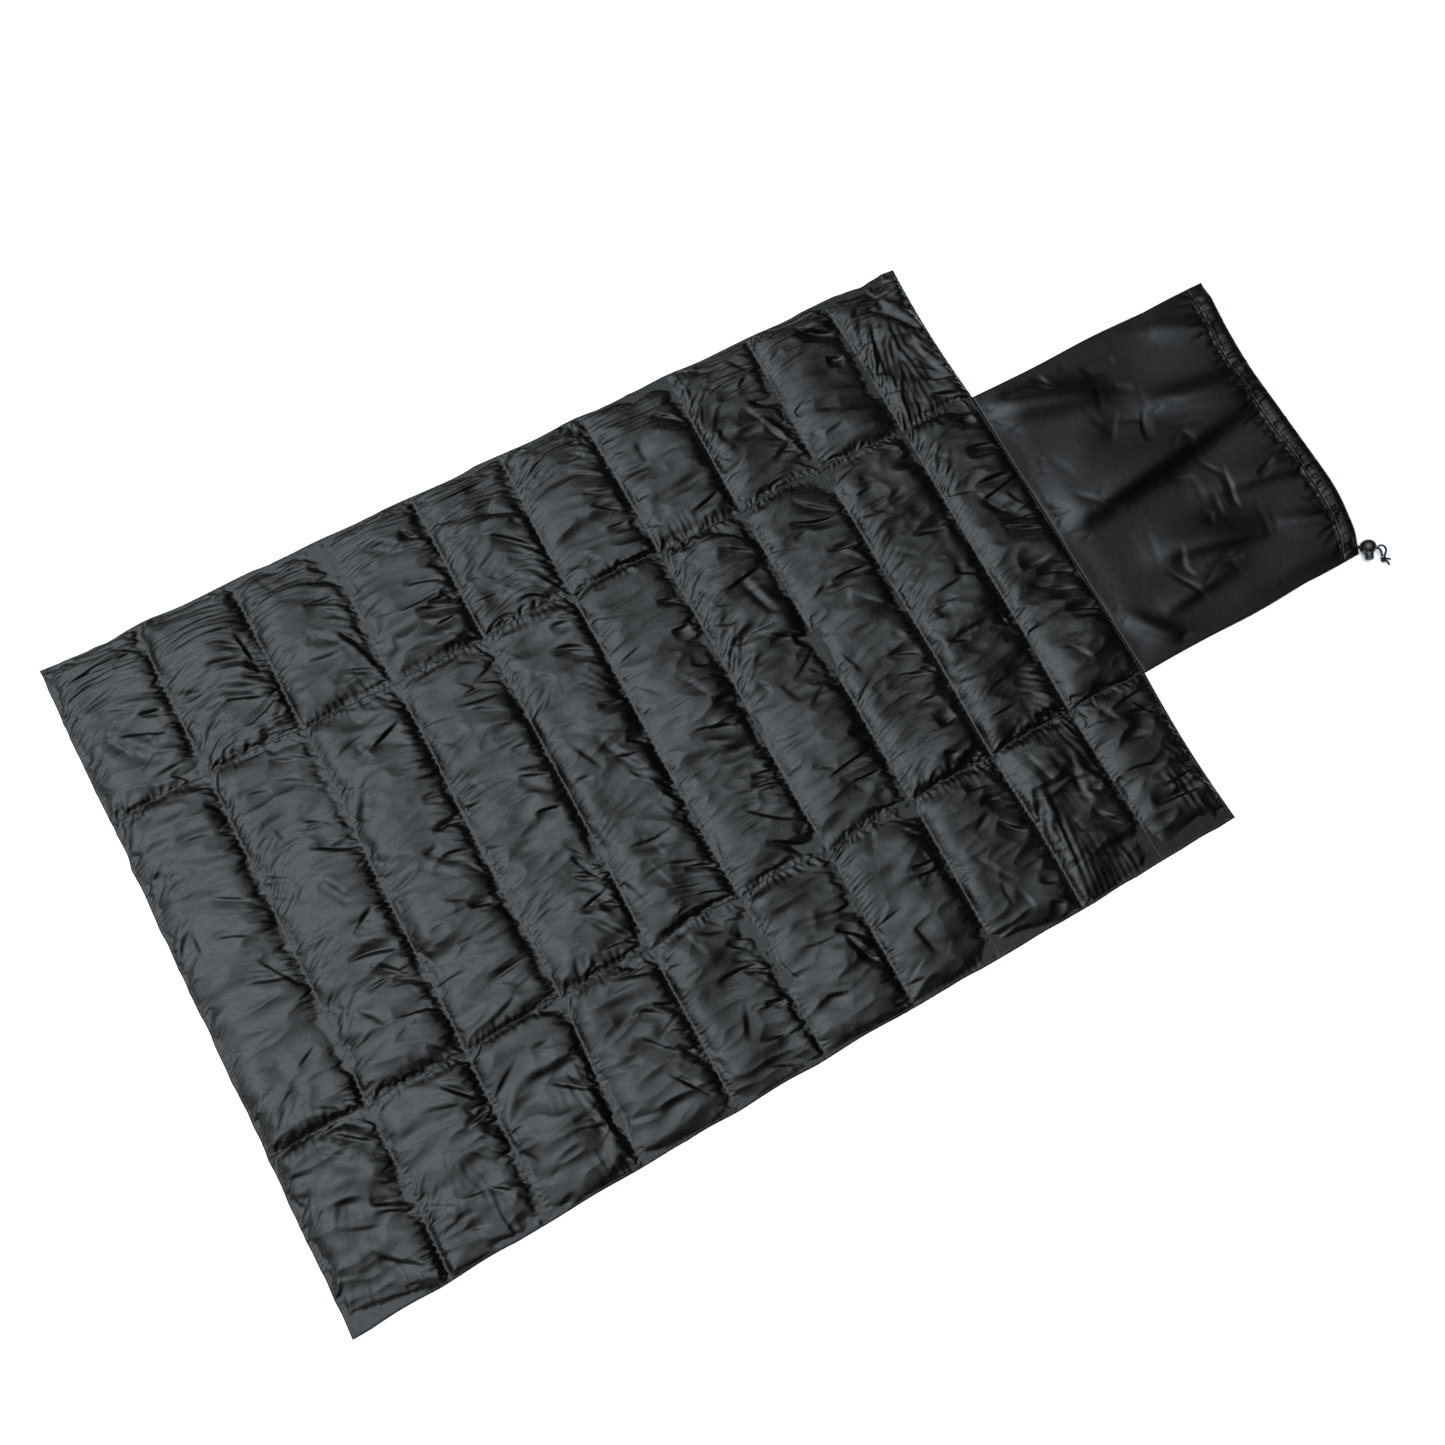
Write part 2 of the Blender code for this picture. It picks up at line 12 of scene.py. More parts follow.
import bpy
import numpy as np
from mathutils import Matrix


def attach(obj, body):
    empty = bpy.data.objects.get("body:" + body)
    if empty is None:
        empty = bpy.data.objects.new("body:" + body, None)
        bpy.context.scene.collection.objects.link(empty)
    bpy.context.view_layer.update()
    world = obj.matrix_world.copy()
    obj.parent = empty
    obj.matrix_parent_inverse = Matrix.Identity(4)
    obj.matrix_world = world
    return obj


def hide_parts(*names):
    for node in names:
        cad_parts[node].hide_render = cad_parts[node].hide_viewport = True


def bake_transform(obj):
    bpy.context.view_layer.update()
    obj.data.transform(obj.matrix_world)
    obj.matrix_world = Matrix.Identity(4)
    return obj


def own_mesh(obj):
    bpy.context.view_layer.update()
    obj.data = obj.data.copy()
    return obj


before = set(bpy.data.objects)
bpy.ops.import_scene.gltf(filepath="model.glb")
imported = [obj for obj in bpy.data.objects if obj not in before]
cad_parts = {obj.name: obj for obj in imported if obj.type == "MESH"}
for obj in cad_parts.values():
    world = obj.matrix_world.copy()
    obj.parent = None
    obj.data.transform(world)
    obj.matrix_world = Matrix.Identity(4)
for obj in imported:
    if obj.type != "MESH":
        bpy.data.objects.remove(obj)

Array = np.ndarray
Point = tuple[float, float, float]
Span = tuple[float, float]
Socket, Material, Piece = bpy.types.NodeSocket, bpy.types.Material, bpy.types.Object
ALL = slice(None)
UP = (0.0, 0.0, 1.0)
WAVE_TURN = 20.0  # radians of a wave texture in one unit of its scale
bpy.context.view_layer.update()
log = logging.getLogger("camp_quilt")


class Body(str, Enum):
    """The moving bodies of the quilt."""

    CENTRE = "quilt_centre"
    LEFT = "quilt_left"
    RIGHT = "quilt_right"
    SACK = "stuff_sack"
    LOCK = "cord_lock"
    PLUNGER = "lock_plunger"


class Slot(str, Enum):
    """The material slots of the quilt."""

    SHELL = "shell_nylon"
    THREAD = "quilting_thread"
    SACK = "sack_nylon"
    CORD = "drawcord"
    PLASTIC = "lock_plastic"
    STEEL = "spring_steel"


class Edge(Enum):
    """How a grid's strip of side faces is wound."""

    ALONG = 1
    AGAINST = -1


# ---- shader graphs
class Signal:
    """A number on its way through a shader, which adds its own Math nodes when it is reckoned with."""

    def __init__(self, recipe: "Recipe", socket: Socket) -> None:
        """Wraps a socket of the recipe's node tree."""
        self.recipe = recipe
        self.socket = socket

    def _math(self, operation: str, first: "Number", second: "Number") -> "Signal":
        """One Math node between two numbers or signals."""
        node = self.recipe.add("ShaderNodeMath", {"operation": operation}, {0: first, 1: second})
        return Signal(self.recipe, node.outputs[0])

    def __add__(self, other: "Number") -> "Signal":
        """self + other."""
        return self._math("ADD", self, other)

    def __radd__(self, other: "Number") -> "Signal":
        """other + self."""
        return self._math("ADD", other, self)

    def __sub__(self, other: "Number") -> "Signal":
        """self - other."""
        return self._math("SUBTRACT", self, other)

    def __rsub__(self, other: "Number") -> "Signal":
        """other - self."""
        return self._math("SUBTRACT", other, self)

    def __mul__(self, other: "Number") -> "Signal":
        """self times other."""
        return self._math("MULTIPLY", self, other)

    def __rmul__(self, other: "Number") -> "Signal":
        """other times self."""
        return self._math("MULTIPLY", other, self)

    def most(self, other: "Number") -> "Signal":
        """The larger of self and other."""
        return self._math("MAXIMUM", self, other)


Number = Union[Signal, float]


class Recipe:
    """A material's node tree, filled node by node."""

    def __init__(self, name: str) -> None:
        """Starts a material with only its shader and its output."""
        self.material = bpy.data.materials.new(name)
        self.material.use_nodes = True
        self.tree = self.material.node_tree
        self.shader = self.tree.nodes["Principled BSDF"]

    def add(self, kind: str, settings: dict, inputs: dict) -> bpy.types.Node:
        """One node.

        Args:
            kind: the node's type.
            settings: its properties by name, set first. "stops" holds a ramp's (place, brightness) pairs.
            inputs: a value, signal or socket for each input, by name or number.

        Returns:
            The new node.
        """
        node = self.tree.nodes.new(kind)
        for key, value in settings.items():
            if key == "stops":
                ramp = node.color_ramp.elements
                while len(ramp) < len(value):
                    ramp.new(0.5)
                for stop, (place, level) in zip(ramp, value):
                    stop.position, stop.color = place, (level, level, level, 1.0)
            else:
                setattr(node, key, value)
        for key, value in inputs.items():
            self.feed(node.inputs[key], value)
        return node

    def feed(self, target: Socket, value: object) -> None:
        """Links a signal or socket to an input, or sets a plain value on it."""
        source = value.socket if isinstance(value, Signal) else value
        if isinstance(source, Socket):
            self.tree.links.new(source, target)
        else:
            target.default_value = source

    def surface_uv(self) -> Socket:
        """The piece's own coordinates, in metres along its cloth or cord."""
        return self.add("ShaderNodeUVMap", {"uv_map": "cloth"}, {}).outputs[0]

    def object_place(self) -> Socket:
        """The place in the part's own frame."""
        return self.add("ShaderNodeTexCoord", {}, {}).outputs["Object"]

    def stretched(self, vector: Socket, turn: float,
                  scale: Point = (1.0, 1.0, 1.0)) -> Socket:
        """Coordinates turned about Z, then scaled.

        Args:
            vector: the coordinates to start from.
            turn: the turn, in degrees.
            scale: the scale along each axis after it.

        Returns:
            The new coordinates.
        """
        turned = self.add("ShaderNodeMapping", {"vector_type": "POINT"},
                          {"Vector": vector, "Rotation": (0.0, 0.0, math.radians(turn))})
        node = self.add("ShaderNodeMapping", {"vector_type": "POINT"},
                        {"Vector": turned.outputs[0], "Scale": scale})
        return node.outputs[0]

    def noise(self, vector: Socket, scale: float, detail: float = 2.0,
              roughness: float = 0.5, distortion: float = 0.0) -> Signal:
        """Soft noise between 0 and 1.

        Args:
            vector: its coordinates.
            scale: lumps per metre.
            detail: how many finer layers lie on it.
            roughness: how strong they are.
            distortion: how much it is warped.

        Returns:
            The noise.
        """
        node = self.add("ShaderNodeTexNoise", {"noise_dimensions": "3D"},
                        {"Vector": vector, "Scale": scale, "Detail": detail, "Roughness": roughness,
                         "Distortion": distortion})
        return Signal(self, node.outputs["Fac"])

    def bands(self, vector: Socket, axis: str, per_metre: float) -> Signal:
        """Smooth ribs across one axis, from 0 to 1: half of 1 + sin(tau per_metre times the place)."""
        node = self.add("ShaderNodeTexWave", {"wave_type": "BANDS", "bands_direction": axis},
                        {"Vector": vector, "Scale": per_metre * math.tau / WAVE_TURN})
        return Signal(self, node.outputs["Fac"])

    def ramp(self, value: Signal, stops: Sequence[Span]) -> Signal:
        """value read through (place, level) stops."""
        node = self.add("ShaderNodeValToRGB", {"stops": list(stops)}, {"Fac": value})
        return Signal(self, node.outputs["Color"])

    def blend(self, share: Signal, low: Sequence[float], high: Sequence[float]) -> Socket:
        """A colour between low, where share is 0, and high, where it is 1."""
        node = self.add("ShaderNodeMix", {"data_type": "RGBA"},
                        {0: share, 6: (*low, 1.0), 7: (*high, 1.0)})
        return node.outputs[2]

    def bump(self, height: Signal, distance: float, strength: float = 1.0,
             under: Optional[Socket] = None) -> Socket:
        """A bumped normal.

        Args:
            height: the relief, from 0 to 1.
            distance: its height in metres.
            strength: how much of it shows.
            under: the normal of a coarser relief below it.

        Returns:
            The normal.
        """
        inputs: dict = {"Height": height, "Distance": distance, "Strength": strength}
        if under is not None:
            inputs["Normal"] = under
        return self.add("ShaderNodeBump", {}, inputs).outputs[0]

    def finish(self, **sockets: object) -> Material:
        """Sets the shader's sockets, named with _ for a space, and hands the material over."""
        for key, value in sockets.items():
            self.feed(self.shader.inputs[key.replace("_", " ")], value)
        return self.material


@dataclass(frozen=True)
class WovenNylon:
    """Thin downproof nylon with a soft calendered sheen.

    The relief is made of three layers: hand-sized crumples, short fine creases, and the plain weave.
    """

    name: str
    dark: Point
    light: Point
    roughness: float
    roughness_spread: float
    crumple_height: float
    crease_height: float
    specular: float
    weave_height: float = 0.00005
    weave_pitch: float = 0.0009

    def make(self) -> Material:
        """The material."""
        recipe = Recipe(self.name)
        cloth = recipe.surface_uv()
        cloud = recipe.noise(cloth, scale=7.0, detail=3.0, roughness=0.6)
        patch = recipe.noise(cloth, scale=38.0, detail=4.0, roughness=0.62)
        slanting = recipe.stretched(cloth, turn=28.0, scale=(420.0, 60.0, 1.0))
        slub = recipe.noise(slanting, scale=1.0, roughness=0.6)
        crumple = recipe.noise(cloth, scale=46.0, detail=3.0, roughness=0.55, distortion=0.6)
        lengthened = recipe.stretched(cloth, turn=20.0, scale=(70.0, 150.0, 1.0))
        folded = recipe.noise(lengthened, scale=1.0, distortion=1.2)
        crease = 1.0 - recipe.ramp(folded, [(0.44, 0.0), (0.5, 1.0), (0.56, 0.0)])
        warp = recipe.bands(cloth, "X", 1.0 / self.weave_pitch)
        weft = recipe.bands(cloth, "Y", 1.0 / self.weave_pitch)
        relief = recipe.bump(crumple, self.crumple_height)
        relief = recipe.bump(crease, self.crease_height, under=relief)
        relief = recipe.bump(warp * weft, self.weave_height, strength=0.6, under=relief)
        tone = recipe.ramp(cloud * 0.5 + patch * 0.3 + slub * 0.2, [(0.34, 0.0), (0.66, 1.0)])
        rough = self.roughness + self.roughness_spread * (patch * 0.6 + slub * 0.8 - 0.7)
        return recipe.finish(Base_Color=recipe.blend(tone, self.dark, self.light), Roughness=rough,
                             Normal=relief, Specular_IOR_Level=self.specular)


@dataclass(frozen=True)
class TwistedThread:
    """Polyester sewing thread: two plies twisted round each other, with a low gloss."""

    name: str
    dark: Point
    light: Point
    twist: float = 35.0  # degrees
    plies: float = 1300.0  # a metre
    ply_height: float = 0.0001

    def make(self) -> Material:
        """The material."""
        recipe = Recipe(self.name)
        place = recipe.object_place()
        fuzz = recipe.noise(place, scale=900.0)
        ply = recipe.bands(recipe.stretched(place, self.twist), "X", per_metre=self.plies)
        # Base colour mixes dark and light at random by the fuzz; where light is set above the thread's own
        # colour, as for the quilting thread, the fuzz spreads painted glints.
        return recipe.finish(Base_Color=recipe.blend(fuzz, self.dark, self.light),
                             Roughness=0.42 + 0.2 * fuzz, Normal=recipe.bump(ply, self.ply_height),
                             Specular_IOR_Level=0.55)


@dataclass(frozen=True)
class BraidedCord:
    """A round braided polyester cord: strands that cross in a diamond pattern."""

    name: str
    dark: Point
    light: Point
    plait: float = 0.0016
    plait_height: float = 0.00022
    slant: float = 45.0  # degrees

    def make(self) -> Material:
        """The material. Its relief is the higher of two slanting sets of ribs on the cord's own surface."""
        recipe = Recipe(self.name)
        skin = recipe.surface_uv()
        left, right = (recipe.bands(recipe.stretched(skin, turn), "X", per_metre=1.0 / self.plait)
                       for turn in (self.slant, -self.slant))
        fuzz = recipe.noise(skin, scale=2500.0)
        diamonds = left.most(right)
        # Base colour is lighter on the braid's raised strands and darker in its low grooves: painted shade,
        # mixed with random fuzz.
        return recipe.finish(Base_Color=recipe.blend(diamonds * 0.7 + fuzz * 0.3, self.dark, self.light),
                             Roughness=0.62 + 0.15 * fuzz, Normal=recipe.bump(diamonds, self.plait_height),
                             Specular_IOR_Level=0.22)


@dataclass(frozen=True)
class MouldedPlastic:
    """Glossy moulded acetal with faint flow marks and rubbed patches."""

    name: str
    colour: Point
    worn: Point
    grain_height: float = 0.00001

    def make(self) -> Material:
        """The material."""
        recipe = Recipe(self.name)
        place = recipe.object_place()
        rub = recipe.noise(place, scale=240.0, detail=3.0, roughness=0.6)
        grain = recipe.noise(place, scale=2600.0)
        relief = recipe.bump(grain, self.grain_height, strength=0.5)
        return recipe.finish(Base_Color=recipe.blend(rub, self.colour, self.worn), Roughness=0.2 + 0.16 * rub,
                             Normal=relief, Specular_IOR_Level=0.40)


@dataclass(frozen=True)
class SpringSteel:
    """Bright drawn wire with a light grey film."""

    name: str
    dull: Point = (0.42, 0.43, 0.45)
    bright: Point = (0.6, 0.61, 0.62)

    def make(self) -> Material:
        """The material."""
        recipe = Recipe(self.name)
        film = recipe.noise(recipe.object_place(), scale=900.0)
        return recipe.finish(Base_Color=recipe.blend(film, self.dull, self.bright), Metallic=1.0,
                             Roughness=0.24 + 0.15 * film)


@dataclass(frozen=True)
class PaleFloor:
    """A matt white studio floor."""

    name: str = "studio_floor_white"
    colour: Point = (0.93, 0.93, 0.93)

    def make(self) -> Material:
        """The material."""
        return Recipe(self.name).finish(Base_Color=(*self.colour, 1.0), Roughness=0.9, Specular_IOR_Level=0.2)


# ---- meshes
class MeshParts:
    """Points and faces gathered for one mesh, with cloth coordinates on every point."""

    def __init__(self) -> None:
        """Starts with nothing."""
        self.points: list[Array] = []
        self.coords: list[Array] = []
        self.faces: list[Array] = []
        self.count = 0

    def add_points(self, points: Array, coords: Array) -> int:
        """Adds points.

        Args:
            points: an array of (n, 3) places.
            coords: an array of (n, 2) cloth coordinates.

        Returns:
            The number of the first of them.
        """
        first = self.count
        self.points.append(np.asarray(points, float).reshape(-1, 3))
        self.coords.append(np.asarray(coords, float).reshape(-1, 2))
        self.count += len(self.points[-1])
        return first

    def add_grid(self, first: int, rows: int, columns: int, edge: Edge, around: bool = False) -> None:
        """The four-sided faces between neighbouring points of a grid.

        Args:
            first: the number of the grid's first point.
            rows: how many rows of points it has.
            columns: how many points are in a row.
            edge: which way the faces are wound.
            around: whether the last column joins the first.
        """
        ids = first + np.arange(rows * columns).reshape(rows, columns)
        if around:
            ids = np.concatenate([ids, ids[:, :1]], axis=1)
        self.add_faces(ids[:-1, :-1], ids[:-1, 1:], ids[1:, 1:], ids[1:, :-1], edge=edge)

    def add_faces(self, *corners: Array, edge: Edge = Edge.ALONG) -> None:
        """Faces whose corners are the points that the arrays name, one array for each corner."""
        self.faces.append(np.stack([np.ravel(x) for x in corners], axis=1)[:, ::edge.value])

    def add_half_strip(self, fine: Array, coarse: Array, edge: Edge) -> None:
        """The wall between a row of points and a row with every second one.

        Args:
            fine: the numbers of the first row, an odd count.
            coarse: the numbers of the second row.
            edge: which way the faces are wound.
        """
        start, middle, end = fine[:-2:2], fine[1:-1:2], fine[2::2]
        self.add_faces(start, coarse[:-1], middle, edge=edge)
        self.add_faces(middle, coarse[1:], end, edge=edge)
        self.add_faces(middle, coarse[:-1], coarse[1:], edge=edge)

    def build(self, name: str, material: Material) -> Piece:
        """The object, at the origin, smooth, with its cloth coordinates as a UV map.

        Args:
            name: the piece's name.
            material: its finish.

        Returns:
            The new object.
        """
        points = np.concatenate(self.points)
        coords = np.concatenate(self.coords)
        sizes = np.concatenate([np.full(len(part), part.shape[1]) for part in self.faces])
        corners = np.concatenate([part.ravel() for part in self.faces])
        mesh = bpy.data.meshes.new(name)
        mesh.vertices.add(len(points))
        mesh.vertices.foreach_set("co", points.astype(np.float32).ravel())
        mesh.loops.add(len(corners))
        mesh.polygons.add(len(sizes))
        mesh.polygons.foreach_set("loop_start", np.concatenate([[0], np.cumsum(sizes)[:-1]]).astype(np.int32))
        mesh.polygons.foreach_set("vertices", corners.astype(np.int32))
        mesh.polygons.foreach_set("use_smooth", np.ones(len(sizes), bool))
        mesh.update(calc_edges=True)
        layer = mesh.uv_layers.new(name="cloth")
        layer.data.foreach_set("uv", coords[corners].astype(np.float32).ravel())
        mesh.materials.append(material)
        mesh.validate()
        obj = bpy.data.objects.new(name, mesh)
        bpy.context.scene.collection.objects.link(obj)
        return obj


def unit(vectors: Array) -> Array:
    """Vectors scaled to length 1, along the last axis."""
    return vectors / np.maximum(np.linalg.norm(vectors, axis=-1, keepdims=True), 1e-12)


def smooth_step(value: Array) -> Array:
    """0 below 0, 1 above 1, and 3 v^2 - 2 v^3 between."""
    held = np.clip(value, 0.0, 1.0)
    return held * held * (3.0 - 2.0 * held)


def smooth_route(points: Sequence[Point], per_leg: int) -> Array:
    """A curve through all the points, a cubic between each pair with half the chord as its end slopes.

    Args:
        points: the points that it passes.
        per_leg: how many steps lie between two of them.

    Returns:
        An array of (n, 3) places.
    """
    knots = np.asarray(points, float)
    padded = np.concatenate([2 * knots[:1] - knots[1:2], knots, 2 * knots[-1:] - knots[-2:-1]])
    t = np.linspace(0.0, 1.0, per_leg, endpoint=False)[None, :, None]
    before, start, end, after = (padded[k:len(padded) - 3 + k, None] for k in range(4))
    legs = 0.5 * (2 * start + (end - before) * t + (2 * before - 5 * start + 4 * end - after) * t ** 2
                  + (3 * start - before - 3 * end + after) * t ** 3)
    return np.concatenate([legs.reshape(-1, 3), knots[-1:]])


def run_along(route: Array) -> Array:
    """How far along a route each of its places is."""
    return np.concatenate([[0.0], np.cumsum(np.linalg.norm(np.diff(route, axis=0), axis=1))])


def read_at(route: Array, where: Array) -> Array:
    """The places on a route that are so far along it."""
    run = run_along(route)
    return np.stack([np.interp(where, run, route[:, k]) for k in range(3)], axis=-1)


def evenly(route: Array, count: int) -> Array:
    """The route read again at count places an equal way apart along it."""
    return read_at(route, np.linspace(0.0, run_along(route)[-1], count))


def square_to(along: Array) -> tuple[Array, Array]:
    """Two directions square to a path and to each other: a level one, and along x up x along."""
    side = unit(np.cross(along, UP))
    return side, np.cross(side, along)


def add_tube(parts: MeshParts, route: Array, radius: Array, sides: int) -> None:
    """A closed round tube: at each place p, p + r (side cos a + over sin a).

    Args:
        parts: the mesh that it goes into.
        route: (n, 3) places along its middle, never straight up.
        radius: its radius at each of them.
        sides: how many flats it has round it.
    """
    side, over = square_to(unit(np.gradient(route, axis=0)))
    angle = np.linspace(0.0, math.tau, sides, endpoint=False)
    rings = route[:, None] + radius[:, None, None] * (side[:, None] * np.cos(angle)[None, :, None]
                                                     + over[:, None] * np.sin(angle)[None, :, None])
    run = run_along(route)
    coords = np.stack(np.broadcast_arrays(run[:, None], (angle * radius.max())[None]), axis=-1)
    first = parts.add_points(rings, coords)
    parts.add_grid(first, len(route), sides, Edge.AGAINST, around=True)
    ends = parts.add_points(route[[0, -1]], [[run[0], 0.0], [run[-1], 0.0]])
    ring = np.arange(sides)
    parts.add_faces(np.full(sides, ends), first + ring, first + np.roll(ring, -1), edge=Edge.AGAINST)
    last = first + (len(route) - 1) * sides
    parts.add_faces(np.full(sides, ends + 1), last + ring, last + np.roll(ring, -1), edge=Edge.ALONG)


@dataclass(frozen=True)
class Stitching:
    """A row of machine stitches: short lengths of thread that dip into the cloth at both ends."""

    pitch: float = 0.0036
    length: float = 0.0030
    radius: float = 0.00048
    rise: float = 0.00050
    rings: int = 4
    sides: int = 5

    def sew(self, parts: MeshParts, line: Array) -> None:
        """Stitches along a line on the cloth.

        The thread's middle is the line lifted by rise times sin(pi t), t from 0 to 1 along a stitch,
        and its radius falls to half at both ends.

        Args:
            parts: the mesh that they go into.
            line: (n, 3) places along the cloth.
        """
        count = int(run_along(line)[-1] / self.pitch)
        share = np.linspace(0.0, 1.0, self.rings)
        where = (np.arange(count)[:, None] + 0.5) * self.pitch + (share[None] - 0.5) * self.length
        middle = read_at(line, where)
        middle[..., 2] += self.rise * np.sin(math.pi * share)[None]
        side, over = square_to(unit(middle[:, -1:] - middle[:, :1]))
        angle = np.linspace(0.0, math.tau, self.sides, endpoint=False)
        radius = self.radius * (0.5 + 0.5 * np.sin(math.pi * share))
        rings = middle[:, :, None] + radius[None, :, None, None] * (
            side[:, :, None] * np.cos(angle)[:, None] + over[:, :, None] * np.sin(angle)[:, None])
        first = parts.add_points(rings, np.zeros((rings.size // 3, 2)))
        ids = first + np.arange(count * self.rings * self.sides).reshape(count, self.rings, self.sides)
        nxt = np.roll(ids, -1, axis=2)
        parts.add_faces(ids[:, :-1], nxt[:, :-1], nxt[:, 1:], ids[:, 1:], edge=Edge.AGAINST)
        parts.faces.append(ids[:, 0])
        parts.faces.append(ids[:, -1][:, ::-1])

    def piece(self, name: str, thread: Material, lines: Iterable[Array],
              nodes: Sequence[str]) -> Piece:
        """Rows of stitches as one piece.

        Args:
            name: the piece's name.
            thread: its finish.
            lines: (n, 3) places along the cloth, one array for each row.
            nodes: the CAD nodes that it stands for.

        Returns:
            The piece.
        """
        parts = MeshParts()
        for line in lines:
            self.sew(parts, line)
        obj = parts.build(name, thread)
        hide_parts(*nodes)
        log.info("%s: %d points", name, parts.count)
        return obj


# ---- cloth
NOISE_SIZE = 1.6  # brings blended heights back to about unit size


def soft_noise(shape: tuple[int, int], cells: tuple[int, int], rng: np.random.Generator) -> Array:
    """Smooth noise of about unit size: random heights on a coarse grid, blended by cubic B-splines.

    Args:
        shape: rows and columns of the result.
        cells: rows and columns of the coarse grid.
        rng: where the heights come from.

    Returns:
        The noise.
    """
    grid = rng.normal(0.0, 1.0, (cells[0] + 3, cells[1] + 3))

    def weights(t: Array) -> Array:
        """The four B-spline weights at t between two heights."""
        return np.stack([(1 - t) ** 3, 3 * t ** 3 - 6 * t ** 2 + 4,
                         -3 * t ** 3 + 3 * t ** 2 + 3 * t + 1, t ** 3]) / 6

    row, column = (np.linspace(0, n, m) for n, m in zip(cells, shape))
    r0, c0 = (np.minimum(v.astype(int), n - 1) for v, n in zip((row, column), cells))
    wr, wc = weights(row - r0), weights(column - c0)
    rows = sum(wr[k][:, None] * grid[r0 + k] for k in range(4))
    return NOISE_SIZE * sum(wc[k][None] * rows[:, c0 + k] for k in range(4))


@dataclass(frozen=True)
class RelaxPass:
    """One pass of the cloth's settling, at one size of mesh."""

    pitch: tuple[float, float]  # along X and along Y
    steps: int
    bend: float  # stiffness against creasing
    lift: float  # how hard the filling pushes the cloth up
    drop: float  # how hard it sinks back
    hold: float  # how hard the filling drags it along
    jitter: float  # unevenness that starts the wrinkles


